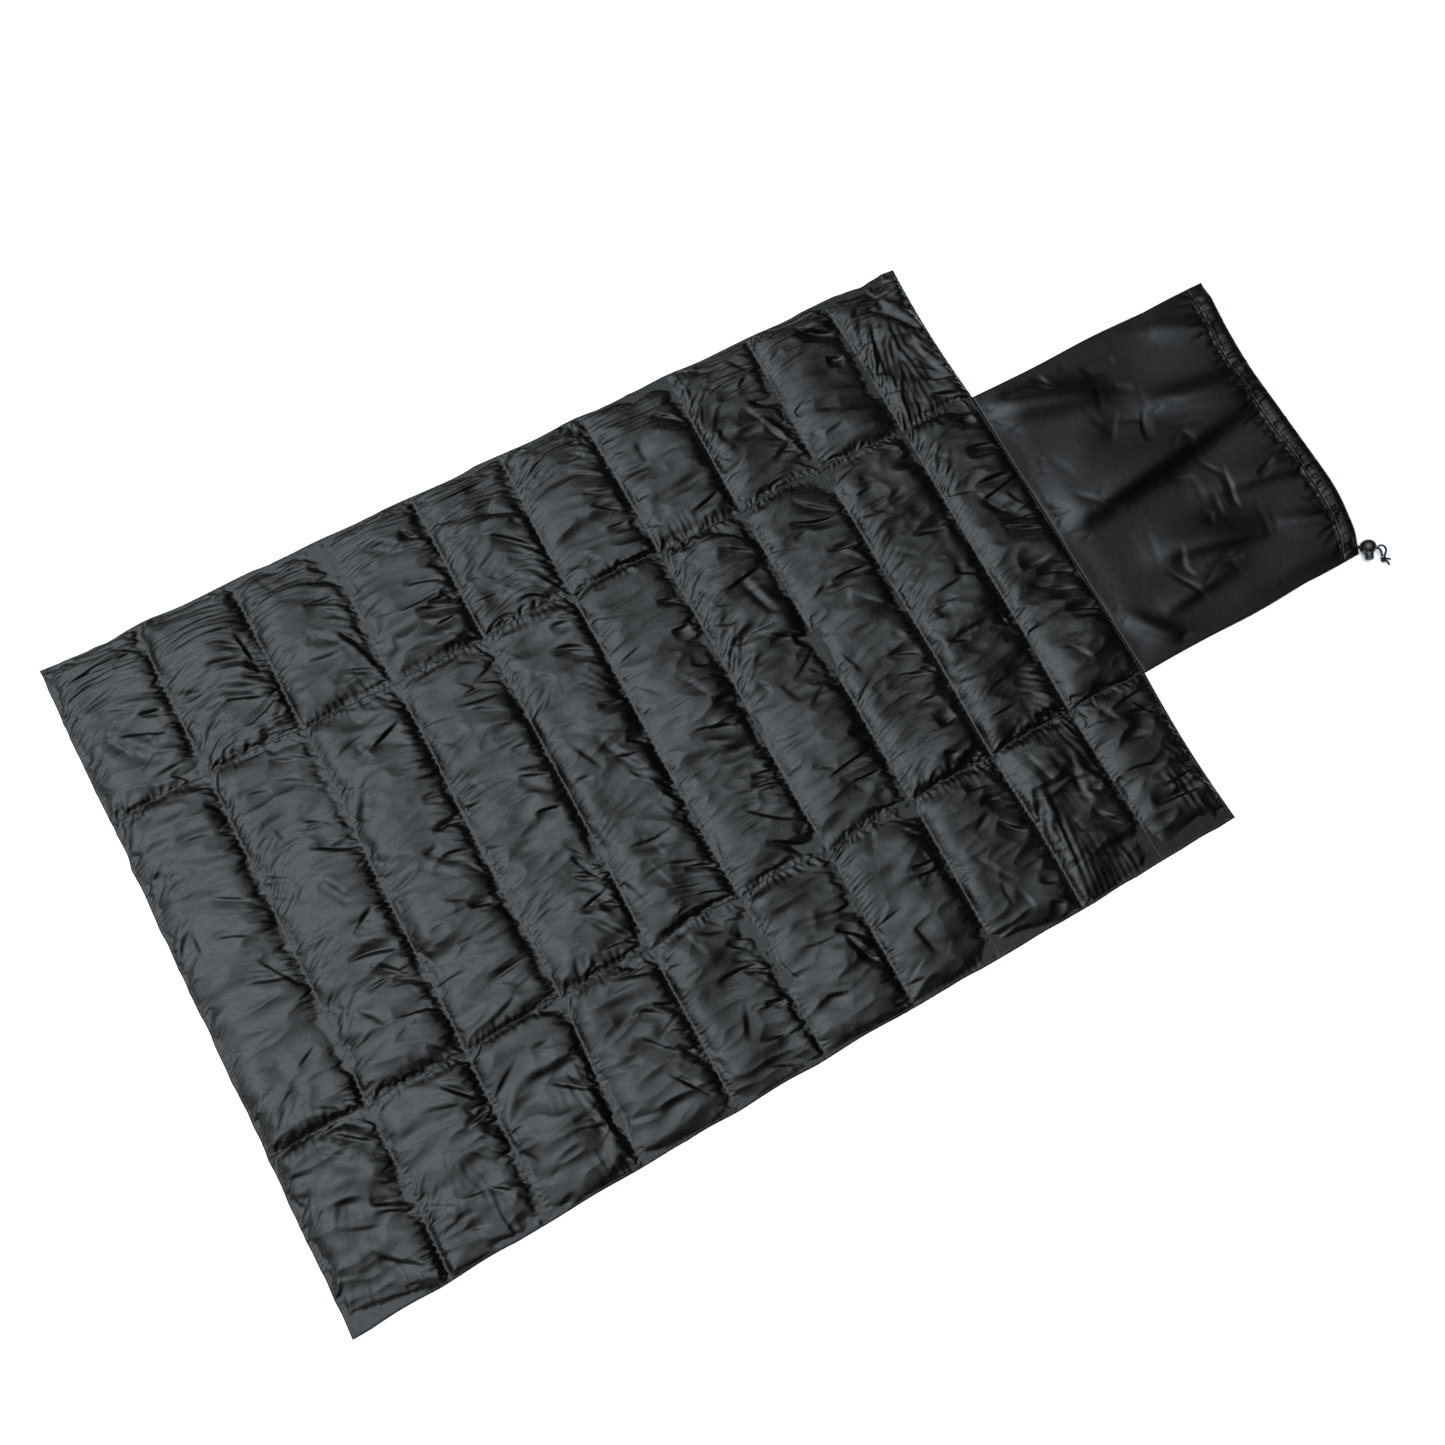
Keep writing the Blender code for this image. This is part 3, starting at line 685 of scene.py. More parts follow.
@dataclass
class Cloth:
    """A woven sheet on a grid of points, with what holds it. All arrays have the grid's rows and columns."""

    flat: Array  # (3, rows, columns): where the points lay before the sheet was cut too long
    aim: Array  # (3, rows, columns): where the filling would have them
    spare_x: Array  # spare length along the rows, as a share
    spare_y: Array  # spare length along the columns, as a share
    pinned: Array  # True where the cloth is sewn down
    floor: float  # the lowest it may go
    ceiling: float  # the highest it may go
    carried: float = 0.9  # share of a step's movement that goes on in the next
    stride: float = 0.12  # the most that goes on, in pitches
    shear: float = 0.25  # how stiff the diagonals are beside the threads
    sweeps: int = 2  # how often a step brings the threads back
    smoothing: float = 0.25  # share of the bending taken off at the end
    ease: float = 0.0008  # how gradually the ceiling is met

    def settle(self, start: Optional[Array], stage: RelaxPass, seed: int) -> Array:
        """Lets the sheet buckle into the room that it has.

        Each step moves the points on by what they moved last, pulls them towards the aim, then brings
        every thread between neighbours back to its woven length, every other one at a time, and takes
        off a share of the difference between each point's curvature and its neighbours'. At the end the
        height z is let down by ease log(1 + exp((z - ceiling) / ease)), so that it stays under the ceiling.

        Args:
            start: (3, rows, columns) places to start from, or None for the aim.
            stage: the pass.
            seed: of its unevenness.

        Returns:
            The places at the end.
        """
        rng = np.random.default_rng(seed)
        points = (self.aim if start is None else start).astype(np.float32).copy()
        aim = self.aim.astype(np.float32)
        free = (~self.pinned).astype(np.float32)
        points[2] += free * rng.normal(0.0, stage.jitter, free.shape).astype(np.float32)
        points = np.where(self.pinned[None], aim, points)
        step_x = np.linalg.norm(np.diff(self.flat, axis=2), axis=0)
        step_y = np.linalg.norm(np.diff(self.flat, axis=1), axis=0)
        rest_x = (step_x * (1 + 0.5 * (self.spare_x[:, 1:] + self.spare_x[:, :-1]))).astype(np.float32)
        rest_y = (step_y * (1 + 0.5 * (self.spare_y[1:] + self.spare_y[:-1]))).astype(np.float32)
        slant_a = self._slant(self.flat[:, :-1, :-1], self.flat[:, 1:, 1:])
        slant_b = self._slant(self.flat[:, 1:, :-1], self.flat[:, :-1, 1:])
        cap = np.float32(self.stride * min(stage.pitch))
        moved = np.zeros_like(points)
        for _ in range(stage.steps):
            before = points.copy()
            points += moved * free
            gap = aim[2] - points[2]
            points[2] += free * np.where(gap > 0, stage.lift, stage.drop).astype(np.float32) * gap
            points[:2] += free * np.float32(stage.hold) * (aim[:2] - points[:2])
            for _ in range(self.sweeps):
                for odd in (0, 1):
                    self._pull(points, free, (ALL, slice(odd, -1, 2)), (ALL, slice(odd + 1, None, 2)),
                               rest_x[:, odd::2], 1.0)
                    self._pull(points, free, (slice(odd, -1, 2), ALL), (slice(odd + 1, None, 2), ALL),
                               rest_y[odd::2], 1.0)
                for odd in (0, 1):
                    self._pull(points, free, (slice(0, -1), slice(odd, -1, 2)),
                               (slice(1, None), slice(odd + 1, None, 2)), slant_a[:, odd::2], self.shear)
                    self._pull(points, free, (slice(1, None), slice(odd, -1, 2)),
                               (slice(0, -1), slice(odd + 1, None, 2)), slant_b[:, odd::2], self.shear)
            points -= np.float32(stage.bend) * free * self._curvature(self._curvature(points))
            moved = np.clip(self.carried * (points - before), -cap, cap)
        points -= self.smoothing * free * self._curvature(self._curvature(points))
        over = (points[2] - self.ceiling) / self.ease
        points[2] -= self.ease * np.logaddexp(0.0, np.clip(over, -30.0, 30.0)) * free
        points[2] = np.maximum(points[2], self.floor)
        return points.astype(float)

    def _slant(self, first: Array, second: Array) -> Array:
        """The woven length of a cell's diagonal, with the mean spare length in it."""
        spare = 1.0 + 0.5 * float(self.spare_x.mean() + self.spare_y.mean())
        return (np.linalg.norm(second - first, axis=0) * spare).astype(np.float32)

    @staticmethod
    def _pull(points: Array, free: Array, first: tuple, second: tuple, rest: Array, share: float) -> None:
        """Moves both ends of each thread towards its woven length, by share of what is missing."""
        a, b = (ALL, *first), (ALL, *second)
        apart = points[b] - points[a]
        length = np.sqrt(apart[0] ** 2 + apart[1] ** 2 + apart[2] ** 2) + np.float32(1e-9)
        ends = np.maximum(free[first] + free[second], 1)
        apart *= np.float32(share) * (length - rest) / (length * ends)
        points[a] += apart * free[first]
        points[b] -= apart * free[second]

    @staticmethod
    def _curvature(points: Array) -> Array:
        """The mean of each point's neighbours less the point, along both ways, 0 at the borders."""
        bent = np.zeros_like(points)
        bent[:, :, 1:-1] += 0.5 * (points[:, :, 2:] + points[:, :, :-2]) - points[:, :, 1:-1]
        bent[:, 1:-1] += 0.5 * (points[:, 2:] + points[:, :-2]) - points[:, 1:-1]
        return bent


def stations(lines: Sequence[float], pitch: float) -> tuple[Array, list[int]]:
    """Places from the first line to the last, an even number of steps between each two.

    Args:
        lines: places that must be on the grid.
        pitch: about how far apart the places are.

    Returns:
        The places, and the number of each line among them.
    """
    places, marks = [np.array([lines[0]])], [0]
    for low, high in zip(lines, lines[1:]):
        steps = 2 * max(1, round((high - low) / pitch / 2))
        places.append(np.linspace(low, high, steps + 1)[1:])
        marks.append(marks[-1] + steps)
    return np.concatenate(places), marks


def resampled(points: Array, old: tuple[Array, Array], new: tuple[Array, Array]) -> Array:
    """A grid of places read again on other lines, straight between the old ones.

    Args:
        points: (3, rows, columns) places.
        old: the old lines along X and Y.
        new: the new lines along X and Y.

    Returns:
        (3, rows, columns) places on the new lines.
    """
    (old_x, old_y), (new_x, new_y) = old, new
    x0 = np.clip(np.searchsorted(old_x, new_x, side="right") - 1, 0, len(old_x) - 2)
    y0 = np.clip(np.searchsorted(old_y, new_y, side="right") - 1, 0, len(old_y) - 2)
    fx = ((new_x - old_x[x0]) / (old_x[x0 + 1] - old_x[x0]))[None, None]
    fy = ((new_y - old_y[y0]) / (old_y[y0 + 1] - old_y[y0]))[None, :, None]
    low, high = points[:, y0], points[:, y0 + 1]
    return ((low[:, :, x0] * (1 - fx) + low[:, :, x0 + 1] * fx) * (1 - fy)
            + (high[:, :, x0] * (1 - fx) + high[:, :, x0 + 1] * fx) * fy)


def nearest(places: Array, lines: Sequence[float]) -> Array:
    """How far each place is from the nearest line."""
    return np.abs(places[:, None] - np.asarray(lines)[None]).min(axis=1)


@dataclass(frozen=True)
class CreaseKind:
    """A family of sharp creases. Each size is drawn evenly between its two values, in metres."""

    length: Span
    depth: Span
    steep: Span  # width of the steep wall
    gentle: Span  # width of the gentle wall
    from_seam: bool  # deepest at its start, or deepest half way


class CreaseField:
    """How far sharp creases let a cloth down, on a grid of points."""

    bowed: float = 0.045  # how far a crease bows, in its lengths
    turned: float = 0.35  # share of the creases with their steep wall on the other side
    sharpness: float = 0.8  # how a crease from a seam fades out
    overrun: float = 0.0005  # how far it starts before its place

    def __init__(self, x: Array, y: Array, rng: np.random.Generator) -> None:
        """Starts a smooth field.

        Args:
            x: (rows, columns) places along the cloth.
            y: (rows, columns) places across it.
            rng: where the creases' sizes come from.
        """
        self.x, self.y, self.rng = x, y, rng
        self.down = np.zeros(x.shape)
        self._across = y[:, 0]
        self._low, self._high = x.min(axis=0), x.max(axis=0)

    def press(self, kind: CreaseKind, place: tuple[float, float], turn: float) -> None:
        """Adds one crease: a V-shaped valley along a slightly bowed line.

        At the share s along it and the signed distance c across it, the valley is depth t(s) times
        1 - c/gentle on one side and 1 + c/steep on the other, never below 0. t is sin(pi s), or
        (1 - s)^0.8 for a crease that starts at a seam. Where two creases meet the deeper one counts.

        Args:
            kind: the family.
            place: where it starts.
            turn: the way it runs, in degrees from +X.
        """
        length, depth, steep, gentle = (self.rng.uniform(*span) for span in
                                        (kind.length, kind.depth, kind.steep, kind.gentle))
        bow = self.rng.normal(0.0, self.bowed) * length
        if self.rng.random() < self.turned:
            steep, gentle = gentle, steep
        reach = length + gentle
        rows = np.flatnonzero(np.abs(self._across - place[1]) < reach)
        columns = np.flatnonzero((self._low < place[0] + reach) & (self._high > place[0] - reach))
        window = np.ix_(rows, columns)
        dx, dy = self.x[window] - place[0], self.y[window] - place[1]
        ux, uy = math.cos(math.radians(turn)), math.sin(math.radians(turn))
        share = np.clip((dx * ux + dy * uy) / length, 0.0, 1.0)
        across = dy * ux - dx * uy + 4 * bow * share * (1 - share)
        wall = np.clip(np.where(across > 0, 1 - across / gentle, 1 + across / steep), 0.0, 1.0)
        inside = (dx * ux + dy * uy > -self.overrun) & (share < 1.0)
        taper = (1 - share) ** self.sharpness if kind.from_seam else np.sin(math.pi * share)
        self.down[window] = np.maximum(self.down[window], inside * depth * taper * wall)


# ---- the quilt
@dataclass(frozen=True)
class Column:
    """One of the quilt's three lengthwise columns."""

    name: str
    body: Body
    number: int  # counted from the -Y edge


@dataclass
class Quilt:
    """The padded blanket: three columns of channels, sewn through along and across."""

    start: float = -0.928
    channel: float = 0.142
    channels: int = 10
    end_channel: float = 0.132
    seam_y: float = 0.2515
    edge_y: float = 0.5
    seam_height: float = 0.0024
    hem_height: float = 0.0018
    hem: float = 0.006
    puff: float = 0.0096
    roll_x: float = 0.033  # how far from a cross seam a puff reaches its full height
    roll_y: float = 0.030
    round_x: float = 0.66  # how square a puff is beside a cross seam: less is squarer
    round_y: float = 0.7
    lumps: Span = (0.20, 0.16)  # unevenness of the puffs, broad and fine, in puffs
    crown: float = 0.0172  # the highest a puff may stand
    fold_reach: float = 0.055  # how far from a lengthwise seam a side column would bend when it folds
    drag: float = 0.005
    near_bow: float = 0.0035  # how far the -Y edge bows out towards the sack
    far_bow: float = 0.0020
    wing_hollow: float = 0.0045  # how far the edge beside the sack is drawn in
    sway_x: float = 0.0022  # how far a cross seam wanders
    sway_y: float = 0.0020
    pull: float = 0.02  # how far from a seam or edge its wandering dies out
    bow_reach: float = 0.06
    seam_hold: float = 0.0095  # how far from a cross seam its puckers pull on the cloth
    rope_hold: float = 0.010  # the same beside a lengthwise seam
    pucker_share: tuple[float, ...] = (0.15, 0.5, 1.0)  # what each pass's grid can hold of the puckers
    back_folds: float = 6.0  # how many folds run back from a cross seam into a quarter metre of a cell
    front_folds: float = 4.0
    crinkles: float = 9.0
    back_fold: CreaseKind = CreaseKind(
        (0.025, 0.085), (0.0024, 0.0068), (0.0028, 0.0058), (0.009, 0.026), from_seam=False)
    front_fold: CreaseKind = CreaseKind(
        (0.018, 0.060), (0.0014, 0.0036), (0.0028, 0.0056), (0.008, 0.020), from_seam=True)
    crinkle: CreaseKind = CreaseKind(
        (0.022, 0.075), (0.0012, 0.0034), (0.0035, 0.0080), (0.012, 0.032), from_seam=False)
    back_pucker: CreaseKind = CreaseKind(
        (0.010, 0.028), (0.0022, 0.0050), (0.0018, 0.0028), (0.0035, 0.0062), from_seam=True)
    front_pucker: CreaseKind = CreaseKind(
        (0.005, 0.014), (0.0008, 0.0020), (0.0016, 0.0024), (0.0030, 0.0052), from_seam=True)
    long_pucker: CreaseKind = CreaseKind(
        (0.005, 0.018), (0.0010, 0.0026), (0.0016, 0.0026), (0.0028, 0.0050), from_seam=True)
    back_gap: Span = (0.0064, 0.0122)  # how far apart the puckers are
    front_gap: Span = (0.0060, 0.0120)
    long_gap: Span = (0.0055, 0.0110)
    off_seam: float = 0.001  # how far from the thread a pucker starts
    hollow_length: Span = (0.035, 0.100)
    hollow_width: Span = (0.0045, 0.0100)
    hollow_depth: Span = (0.0025, 0.0065)
    hollow_taper: float = 0.7
    stages: tuple[RelaxPass, ...] = (
        RelaxPass((0.0080, 0.0080), 120, 0.06, 0.020, 0.006, 0.010, 0.0015),
        RelaxPass((0.0040, 0.0040), 80, 0.05, 0.012, 0.004, 0.005, 0.0004),
        RelaxPass((0.00222, 0.0016), 70, 0.018, 0.005, 0.0025, 0.002, 0.00030),
    )
    columns: tuple[Column, ...] = (Column("right", Body.RIGHT, 0), Column("centre", Body.CENTRE, 1),
                                   Column("left", Body.LEFT, 2))
    lines_x: Array = field(init=False)
    lines_y: Array = field(init=False)

    def __post_init__(self) -> None:
        """Sets out the seams."""
        cross = [self.start + self.channel * k for k in range(self.channels)]
        self.lines_x = np.array(cross + [cross[-1] + self.end_channel])
        self.lines_y = np.array([-self.edge_y, -self.seam_y, self.seam_y, self.edge_y])

    @property
    def end(self) -> float:
        """The end that the stuff sack is sewn to."""
        return float(self.lines_x[-1])

    def build(self, shell: Material, thread: Material) -> None:
        """Settles the cloth and makes the padded columns and their stitching.

        Args:
            shell: the nylon.
            thread: the quilting thread.
        """
        self._settle()
        for column in self.columns:
            self._pad(column, shell)
            self._cross_threads(column, thread)
        self._length_threads(thread)
        self._edge_threads(thread)

    # -- shape
    def _cells(self) -> list[tuple[float, ...]]:
        """Each cell's lower and upper X and lower and upper Y, channel by channel."""
        return [(a, b, c, d) for a, b in zip(self.lines_x, self.lines_x[1:])
                for c, d in zip(self.lines_y, self.lines_y[1:])]

    def _profile(self, places: Array, lines: Array, roll: float, power: float) -> Array:
        """From 0 on the lines to 1 a roll away: sin(pi/2 d/roll)^power, d the distance to the nearer line."""
        room = np.interp(places, 0.5 * (lines[:-1] + lines[1:]), np.minimum(roll, 0.5 * np.diff(lines)))
        return np.sin(0.5 * math.pi * np.clip(nearest(places, lines) / room, 0.0, 1.0)) ** power

    def _dents(self, x: Array, y: Array) -> Array:
        """Tapered hollows that run back from the cross seams, with a low ridge beside each.

        Each is depth sin(pi s)^0.7 times exp(-(c/w)^2) - 0.5 exp(-((c/w) - 1.7)^2), where s is the share
        along it and c the distance across it.

        Args:
            x: the grid's places along the quilt.
            y: its places across.

        Returns:
            How far the surface is let down.
        """
        rng = np.random.default_rng(41)
        down = np.zeros((len(y), len(x)))
        for _, high_x, low_y, high_y in self._cells():
            count = int(rng.integers(1, 4) * (high_y - low_y) / 0.3 + 0.5)
            for _ in range(count):
                tip_x = high_x - rng.uniform(0.002, 0.055)
                tip_y = rng.uniform(low_y + 0.02, high_y - 0.02)
                turn = math.radians(rng.normal(26.0, 20.0) + (95.0 if rng.random() < 0.25 else 0.0))
                length, width = rng.uniform(*self.hollow_length), rng.uniform(*self.hollow_width)
                depth = rng.uniform(*self.hollow_depth)
                reach = length + 3 * self.hollow_width[1]
                columns = np.flatnonzero(np.abs(x - tip_x) < reach)
                rows = np.flatnonzero(np.abs(y - tip_y) < reach)
                window = np.ix_(rows, columns)
                dx, dy = np.meshgrid(x[columns] - tip_x, y[rows] - tip_y)
                along = (-dx * math.cos(turn) + dy * math.sin(turn)) / length
                across = (dx * math.sin(turn) + dy * math.cos(turn)) / width
                across = across + 0.9 * np.sin(2.2 * along + 6.0 * rng.random())
                taper = np.sin(math.pi * np.clip(along, 0.0, 1.0)) ** self.hollow_taper
                down[window] += depth * taper * (np.exp(-across ** 2) - 0.5 * np.exp(-(across - 1.7) ** 2))
        return down

    def _cloth(self, x: Array, y: Array, fine: float) -> Cloth:
        """The top shell on one grid: its woven size, where the filling wants it, and its seams.

        Args:
            x: the grid's places along the quilt.
            y: its places across.
            fine: how much of the fine puckering the grid can hold, from 0 to 1.

        Returns:
            The cloth.
        """
        rows, columns = len(y), len(x)
        rng, wander = np.random.default_rng(5), np.random.default_rng(21)
        inner_x, inner_y = self.lines_x.copy(), self.lines_y.copy()
        inner_x[0] += self.hem
        inner_y[0] += self.hem
        inner_y[-1] -= self.hem
        puffed_x = self._profile(np.clip(x, inner_x[0], inner_x[-1]), inner_x, self.roll_x, self.round_x)
        puffed_y = self._profile(np.clip(y, inner_y[0], inner_y[-1]), inner_y, self.roll_y, self.round_y)
        broad = self.lumps[0] * soft_noise((rows, columns), (14, 22), rng)
        ripple = self.lumps[1] * soft_noise((rows, columns), (30, 44), rng)
        flat = np.zeros((3, rows, columns))
        flat[0], flat[1] = x[None], y[:, None]
        seam_x, seam_y = nearest(x, self.lines_x), nearest(y, self.lines_y[1:-1])
        aim = flat.copy()
        aim[2] = self.seam_height + self.puff * np.outer(puffed_y, puffed_x) * (1 + broad + ripple)
        aim[2] -= self._dents(x, y) * np.outer(puffed_y, np.clip(seam_x / 0.012, 0.0, 1.0))
        inside = np.minimum(1.0, (self.edge_y - np.abs(y)) / 0.08)
        aim[1] += self.drag * np.outer(inside, 1 - np.exp(-seam_x / self.pull))
        for line in self.lines_x[1:-1]:
            sway = self.sway_x * soft_noise((rows, 1), (9, 1), wander)
            aim[0] += sway * np.exp(-np.abs(x - line) / self.pull)[None]
        for line in self.lines_y[1:-1]:
            sway = self.sway_y * soft_noise((1, columns), (1, 22), wander)
            aim[1] += sway * np.exp(-np.abs(y - line) / self.pull)[:, None]
        self._ragged_edges(aim, x, y, wander)
        for mark in self.marks_x:
            aim[2, :, mark] = self.seam_height
        for mark in self.marks_y[1:-1]:
            lump = fine * soft_noise((1, columns), (1, 128), wander)[0]
            twist = fine * soft_noise((1, columns), (1, 120), wander)[0]
            aim[2, mark] = self.seam_height + 0.0008 + 0.0012 * lump
            aim[1, mark] += 0.0010 * twist
        aim[2, :, 0] = self.hem_height + 0.0006 * np.abs(soft_noise((rows, 1), (44, 1), wander)[:, 0])
        aim[2, :, -1] = self.hem_height
        aim[2, 0] = aim[2, -1] = self.hem_height
        pinned = np.zeros((rows, columns), bool)
        pinned[:, self.marks_x] = True
        pinned[self.marks_y] = True
        rope = np.exp(-(seam_y / self.rope_hold) ** 2)[:, None]
        pucker = np.exp(-(seam_x / self.seam_hold) ** 2)[None]
        spare_x = 0.016 + 0.009 * soft_noise((rows, columns), (30, 42), rng) + 0.090 * fine * rope
        spare_y = 0.006 + 0.007 * soft_noise((rows, columns), (30, 42), rng) + 0.080 * fine * pucker
        return Cloth(flat, aim, np.maximum(spare_x, 0.002), np.maximum(spare_y, 0.001), pinned,
                     self.hem_height, self.crown)

    def _ragged_edges(self, aim: Array, x: Array, y: Array, rng: np.random.Generator) -> None:
        """Draws the outer edges in where the channels pull them, fading out over 20 mm from each edge.

        Args:
            aim: the cloth's places, which are changed.
            x: the grid's places along the quilt.
            y: its places across.
            rng: where the unevenness comes from.
        """
        cell = np.clip(nearest(x, self.lines_x) / (0.5 * self.channel), 0.0, 1.0)
        share = (x - self.start) / (self.end - self.start)
        for side, bow, middle, spread in ((-1, self.near_bow, 0.80, 0.22), (1, self.far_bow, 0.75, 0.25)):
            bowed = bow * np.exp(-((share - middle) / spread) ** 2)
            aim[1] += side * bowed[None] * np.exp(-(self.edge_y - side * y) / self.bow_reach)[:, None]
        wing = np.clip((np.abs(y) - self.seam_y) / (self.edge_y - self.seam_y), 0.0, 1.0)
        hollow = self.wing_hollow * np.sin(math.pi * wing)
        aim[0] -= hollow[:, None] * np.exp(-(self.end - x) / 0.04)[None]
        for side, edge, depth in ((1, self.edge_y, 0.0030), (-1, -self.edge_y, 0.0014)):
            uneven = np.abs(soft_noise((1, len(x)), (1, 30), rng)[0])
            pulled = depth * (smooth_step(cell) + 0.8 * uneven)
            aim[1] -= side * pulled[None] * np.exp(-np.abs(y - edge) / self.pull)[:, None]
        uneven = soft_noise((len(y), 1), (26, 1), rng)[:, 0]
        finer = soft_noise((len(y), 1), (60, 1), rng)[:, 0]
        pulled = 0.0012 * np.abs(uneven) + 0.0008 * np.abs(finer)
        aim[0] += pulled[:, None] * np.exp(-(x - self.start) / self.pull)[None]

    def _settle(self) -> None:
        """Runs the passes, each on a finer grid, and keeps the top surface."""
        points, old = None, None
        stages = self.stages
        for number, stage in enumerate(stages):
            x, self.marks_x = stations(self.lines_x, stage.pitch[0])
            y, self.marks_y = stations(self.lines_y, stage.pitch[1])
            cloth = self._cloth(x, y, self.pucker_share[number])
            if points is not None:
                points = resampled(points, old, (x, y))
            points = cloth.settle(points, stage, seed=number + 1)
            old = (x, y)
            log.info("quilt shell settled at %.1f mm", stage.pitch[0] * 1000)
        self.x, self.y, self.top = *old, points
        self.top[2] = np.maximum(self.top[2] - self._pressed(), np.minimum(self.top[2], self.seam_height))

    def _pressed(self) -> Array:
        """The sharp creases of the settled shell: folds inside the cells and puckers along the seams.

        Returns:
            How far the shell is let down.
        """
        x, y = np.meshgrid(self.x, self.y)
        rng = np.random.default_rng(77)
        folds = CreaseField(x, y, rng)
        for low_x, high_x, low_y, high_y in self._cells():
            wide = (high_y - low_y) / 0.25
            for _ in range(rng.poisson(self.back_folds * wide)):
                place = (high_x - rng.uniform(0.002, 0.022), rng.uniform(low_y, high_y))
                folds.press(self.back_fold, place, 180.0 - rng.normal(24.0, 20.0))
            for _ in range(rng.poisson(self.front_folds * wide)):
                place = (low_x + rng.uniform(0.002, 0.012), rng.uniform(low_y, high_y))
                folds.press(self.front_fold, place, rng.normal(-18.0, 32.0))
            for _ in range(rng.poisson(self.crinkles * wide)):
                place = (rng.uniform(low_x, high_x), rng.uniform(low_y, high_y))
                folds.press(self.crinkle, place, rng.normal(158.0, 34.0))
        puckers = self._puckers(CreaseField(x, y, rng))
        broad = (0.0020 * soft_noise(x.shape, (21, 25), rng) + 0.0014 * soft_noise(x.shape, (48, 34), rng)
                 + 0.0013 * np.abs(soft_noise(x.shape, (96, 60), rng)))
        seam = np.minimum(nearest(self.x, self.lines_x)[None], nearest(self.y, self.lines_y)[:, None])
        return (folds.down + broad) * smooth_step(seam / 0.010) + puckers * np.clip(seam / 0.0022, 0.0, 1.0)

    def _puckers(self, creases: CreaseField) -> Array:
        """Presses the short creases that start at the seams, behind and before each cross seam first.

        Args:
            creases: an empty field.

        Returns:
            How far they let the shell down.
        """
        rng = creases.rng
        for line in self.lines_x[1:]:
            for place in np.cumsum(rng.uniform(*self.back_gap, 120)) - self.edge_y:
                turn = 180.0 + rng.normal(-10.0, 16.0)
                creases.press(self.back_pucker, (line - self.off_seam, place), turn)
        for line in self.lines_x[:-1]:
            for place in np.cumsum(rng.uniform(*self.front_gap, 120)) - self.edge_y:
                creases.press(self.front_pucker, (line + self.off_seam, place), rng.normal(-10.0, 16.0))
        for line in self.lines_y[1:-1]:
            for side in (-1, 1):
                for place in np.cumsum(rng.uniform(*self.long_gap, 180)) + self.start:
                    turn = side * 90.0 + rng.normal(0.0, 24.0)
                    creases.press(self.long_pucker, (place, line + side * self.off_seam), turn)
        return creases.down

    def _underside(self) -> Array:
        """The bottom shell at every second point: flat on the ground, lifted at the seams, crinkled."""
        relief = self.top[2] - self._blurred(self.top[2], 6)
        lifted = 0.0013 * np.maximum(np.exp(-nearest(self.x, self.lines_x) / 0.008)[None],
                                     np.exp(-nearest(self.y, self.lines_y) / 0.008)[:, None])
        under = self.top.copy()
        under[2] = np.clip(lifted + 0.5 * np.abs(relief), 0.0, self.top[2] - 0.0008)
        rim = np.ones_like(under[2], bool)
        rim[1:-1, 1:-1] = False
        under[2] = np.where(rim, 0.0004, under[2])
        return under[:, ::2, ::2]

    @staticmethod
    def _blurred(height: Array, reach: int) -> Array:
        """The mean over a square of 2 reach + 1 points, taken with running sums."""
        padded = np.pad(height, reach + 1, mode="edge")
        total = padded.cumsum(0).cumsum(1)
        size = 2 * reach + 1
        area = total[size:, size:] - total[:-size, size:] - total[size:, :-size] + total[:-size, :-size]
        return area[:height.shape[0], :height.shape[1]] / size ** 2

    # -- pieces
    def _carry(self, obj: Piece, column: Column) -> None:
        """Makes a piece of the centre column move with it; a side column's piece only has its place baked
        into its mesh.
        """
        if column.body is Body.CENTRE:
            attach(obj, Body.CENTRE.value)
            return
        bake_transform(obj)

    def _pad(self, column: Column, shell: Material) -> None:
        """One column as a closed padded piece: the settled top, the underside, and the wall between.

        Args:
            column: which column.
            shell: its nylon.
        """
        low, high = self.marks_y[column.number], self.marks_y[column.number + 1]
        top = self.top[:, low:high + 1]
        under = self._underside()[:, low // 2:high // 2 + 1]
        flat_x, flat_y = np.meshgrid(self.x, self.y[low:high + 1])
        flat = np.stack([flat_x, flat_y], axis=-1)
        parts = MeshParts()
        upper = parts.add_points(top.transpose(1, 2, 0), flat)
        rows, columns = top.shape[1:]
        parts.add_grid(upper, rows, columns, Edge.ALONG)
        lower = parts.add_points(under.transpose(1, 2, 0), flat[::2, ::2] + [0.37, 0.21])
        low_rows, low_columns = under.shape[1:]
        parts.add_grid(lower, low_rows, low_columns, Edge.AGAINST)
        fine = upper + np.arange(rows * columns).reshape(rows, columns)
        coarse = lower + np.arange(low_rows * low_columns).reshape(low_rows, low_columns)
        parts.add_half_strip(fine[0], coarse[0], Edge.ALONG)
        parts.add_half_strip(fine[-1], coarse[-1], Edge.AGAINST)
        parts.add_half_strip(fine[:, 0], coarse[:, 0], Edge.AGAINST)
        parts.add_half_strip(fine[:, -1], coarse[:, -1], Edge.ALONG)
        pad = parts.build(f"{column.name}_padded_column", shell)
        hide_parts(*(f"{column.name}_{layer}" for layer in ("top_shell", "batting", "bottom_shell")))
        self._carry(pad, column)
        log.info("%s: %d points", pad.name, parts.count)

    def _seam_line(self, rows: slice, columns: Union[int, slice]) -> Array:
        """The settled cloth along a grid line, as (n, 3) places."""
        return self.top[:, rows, columns].reshape(3, -1).T.copy()

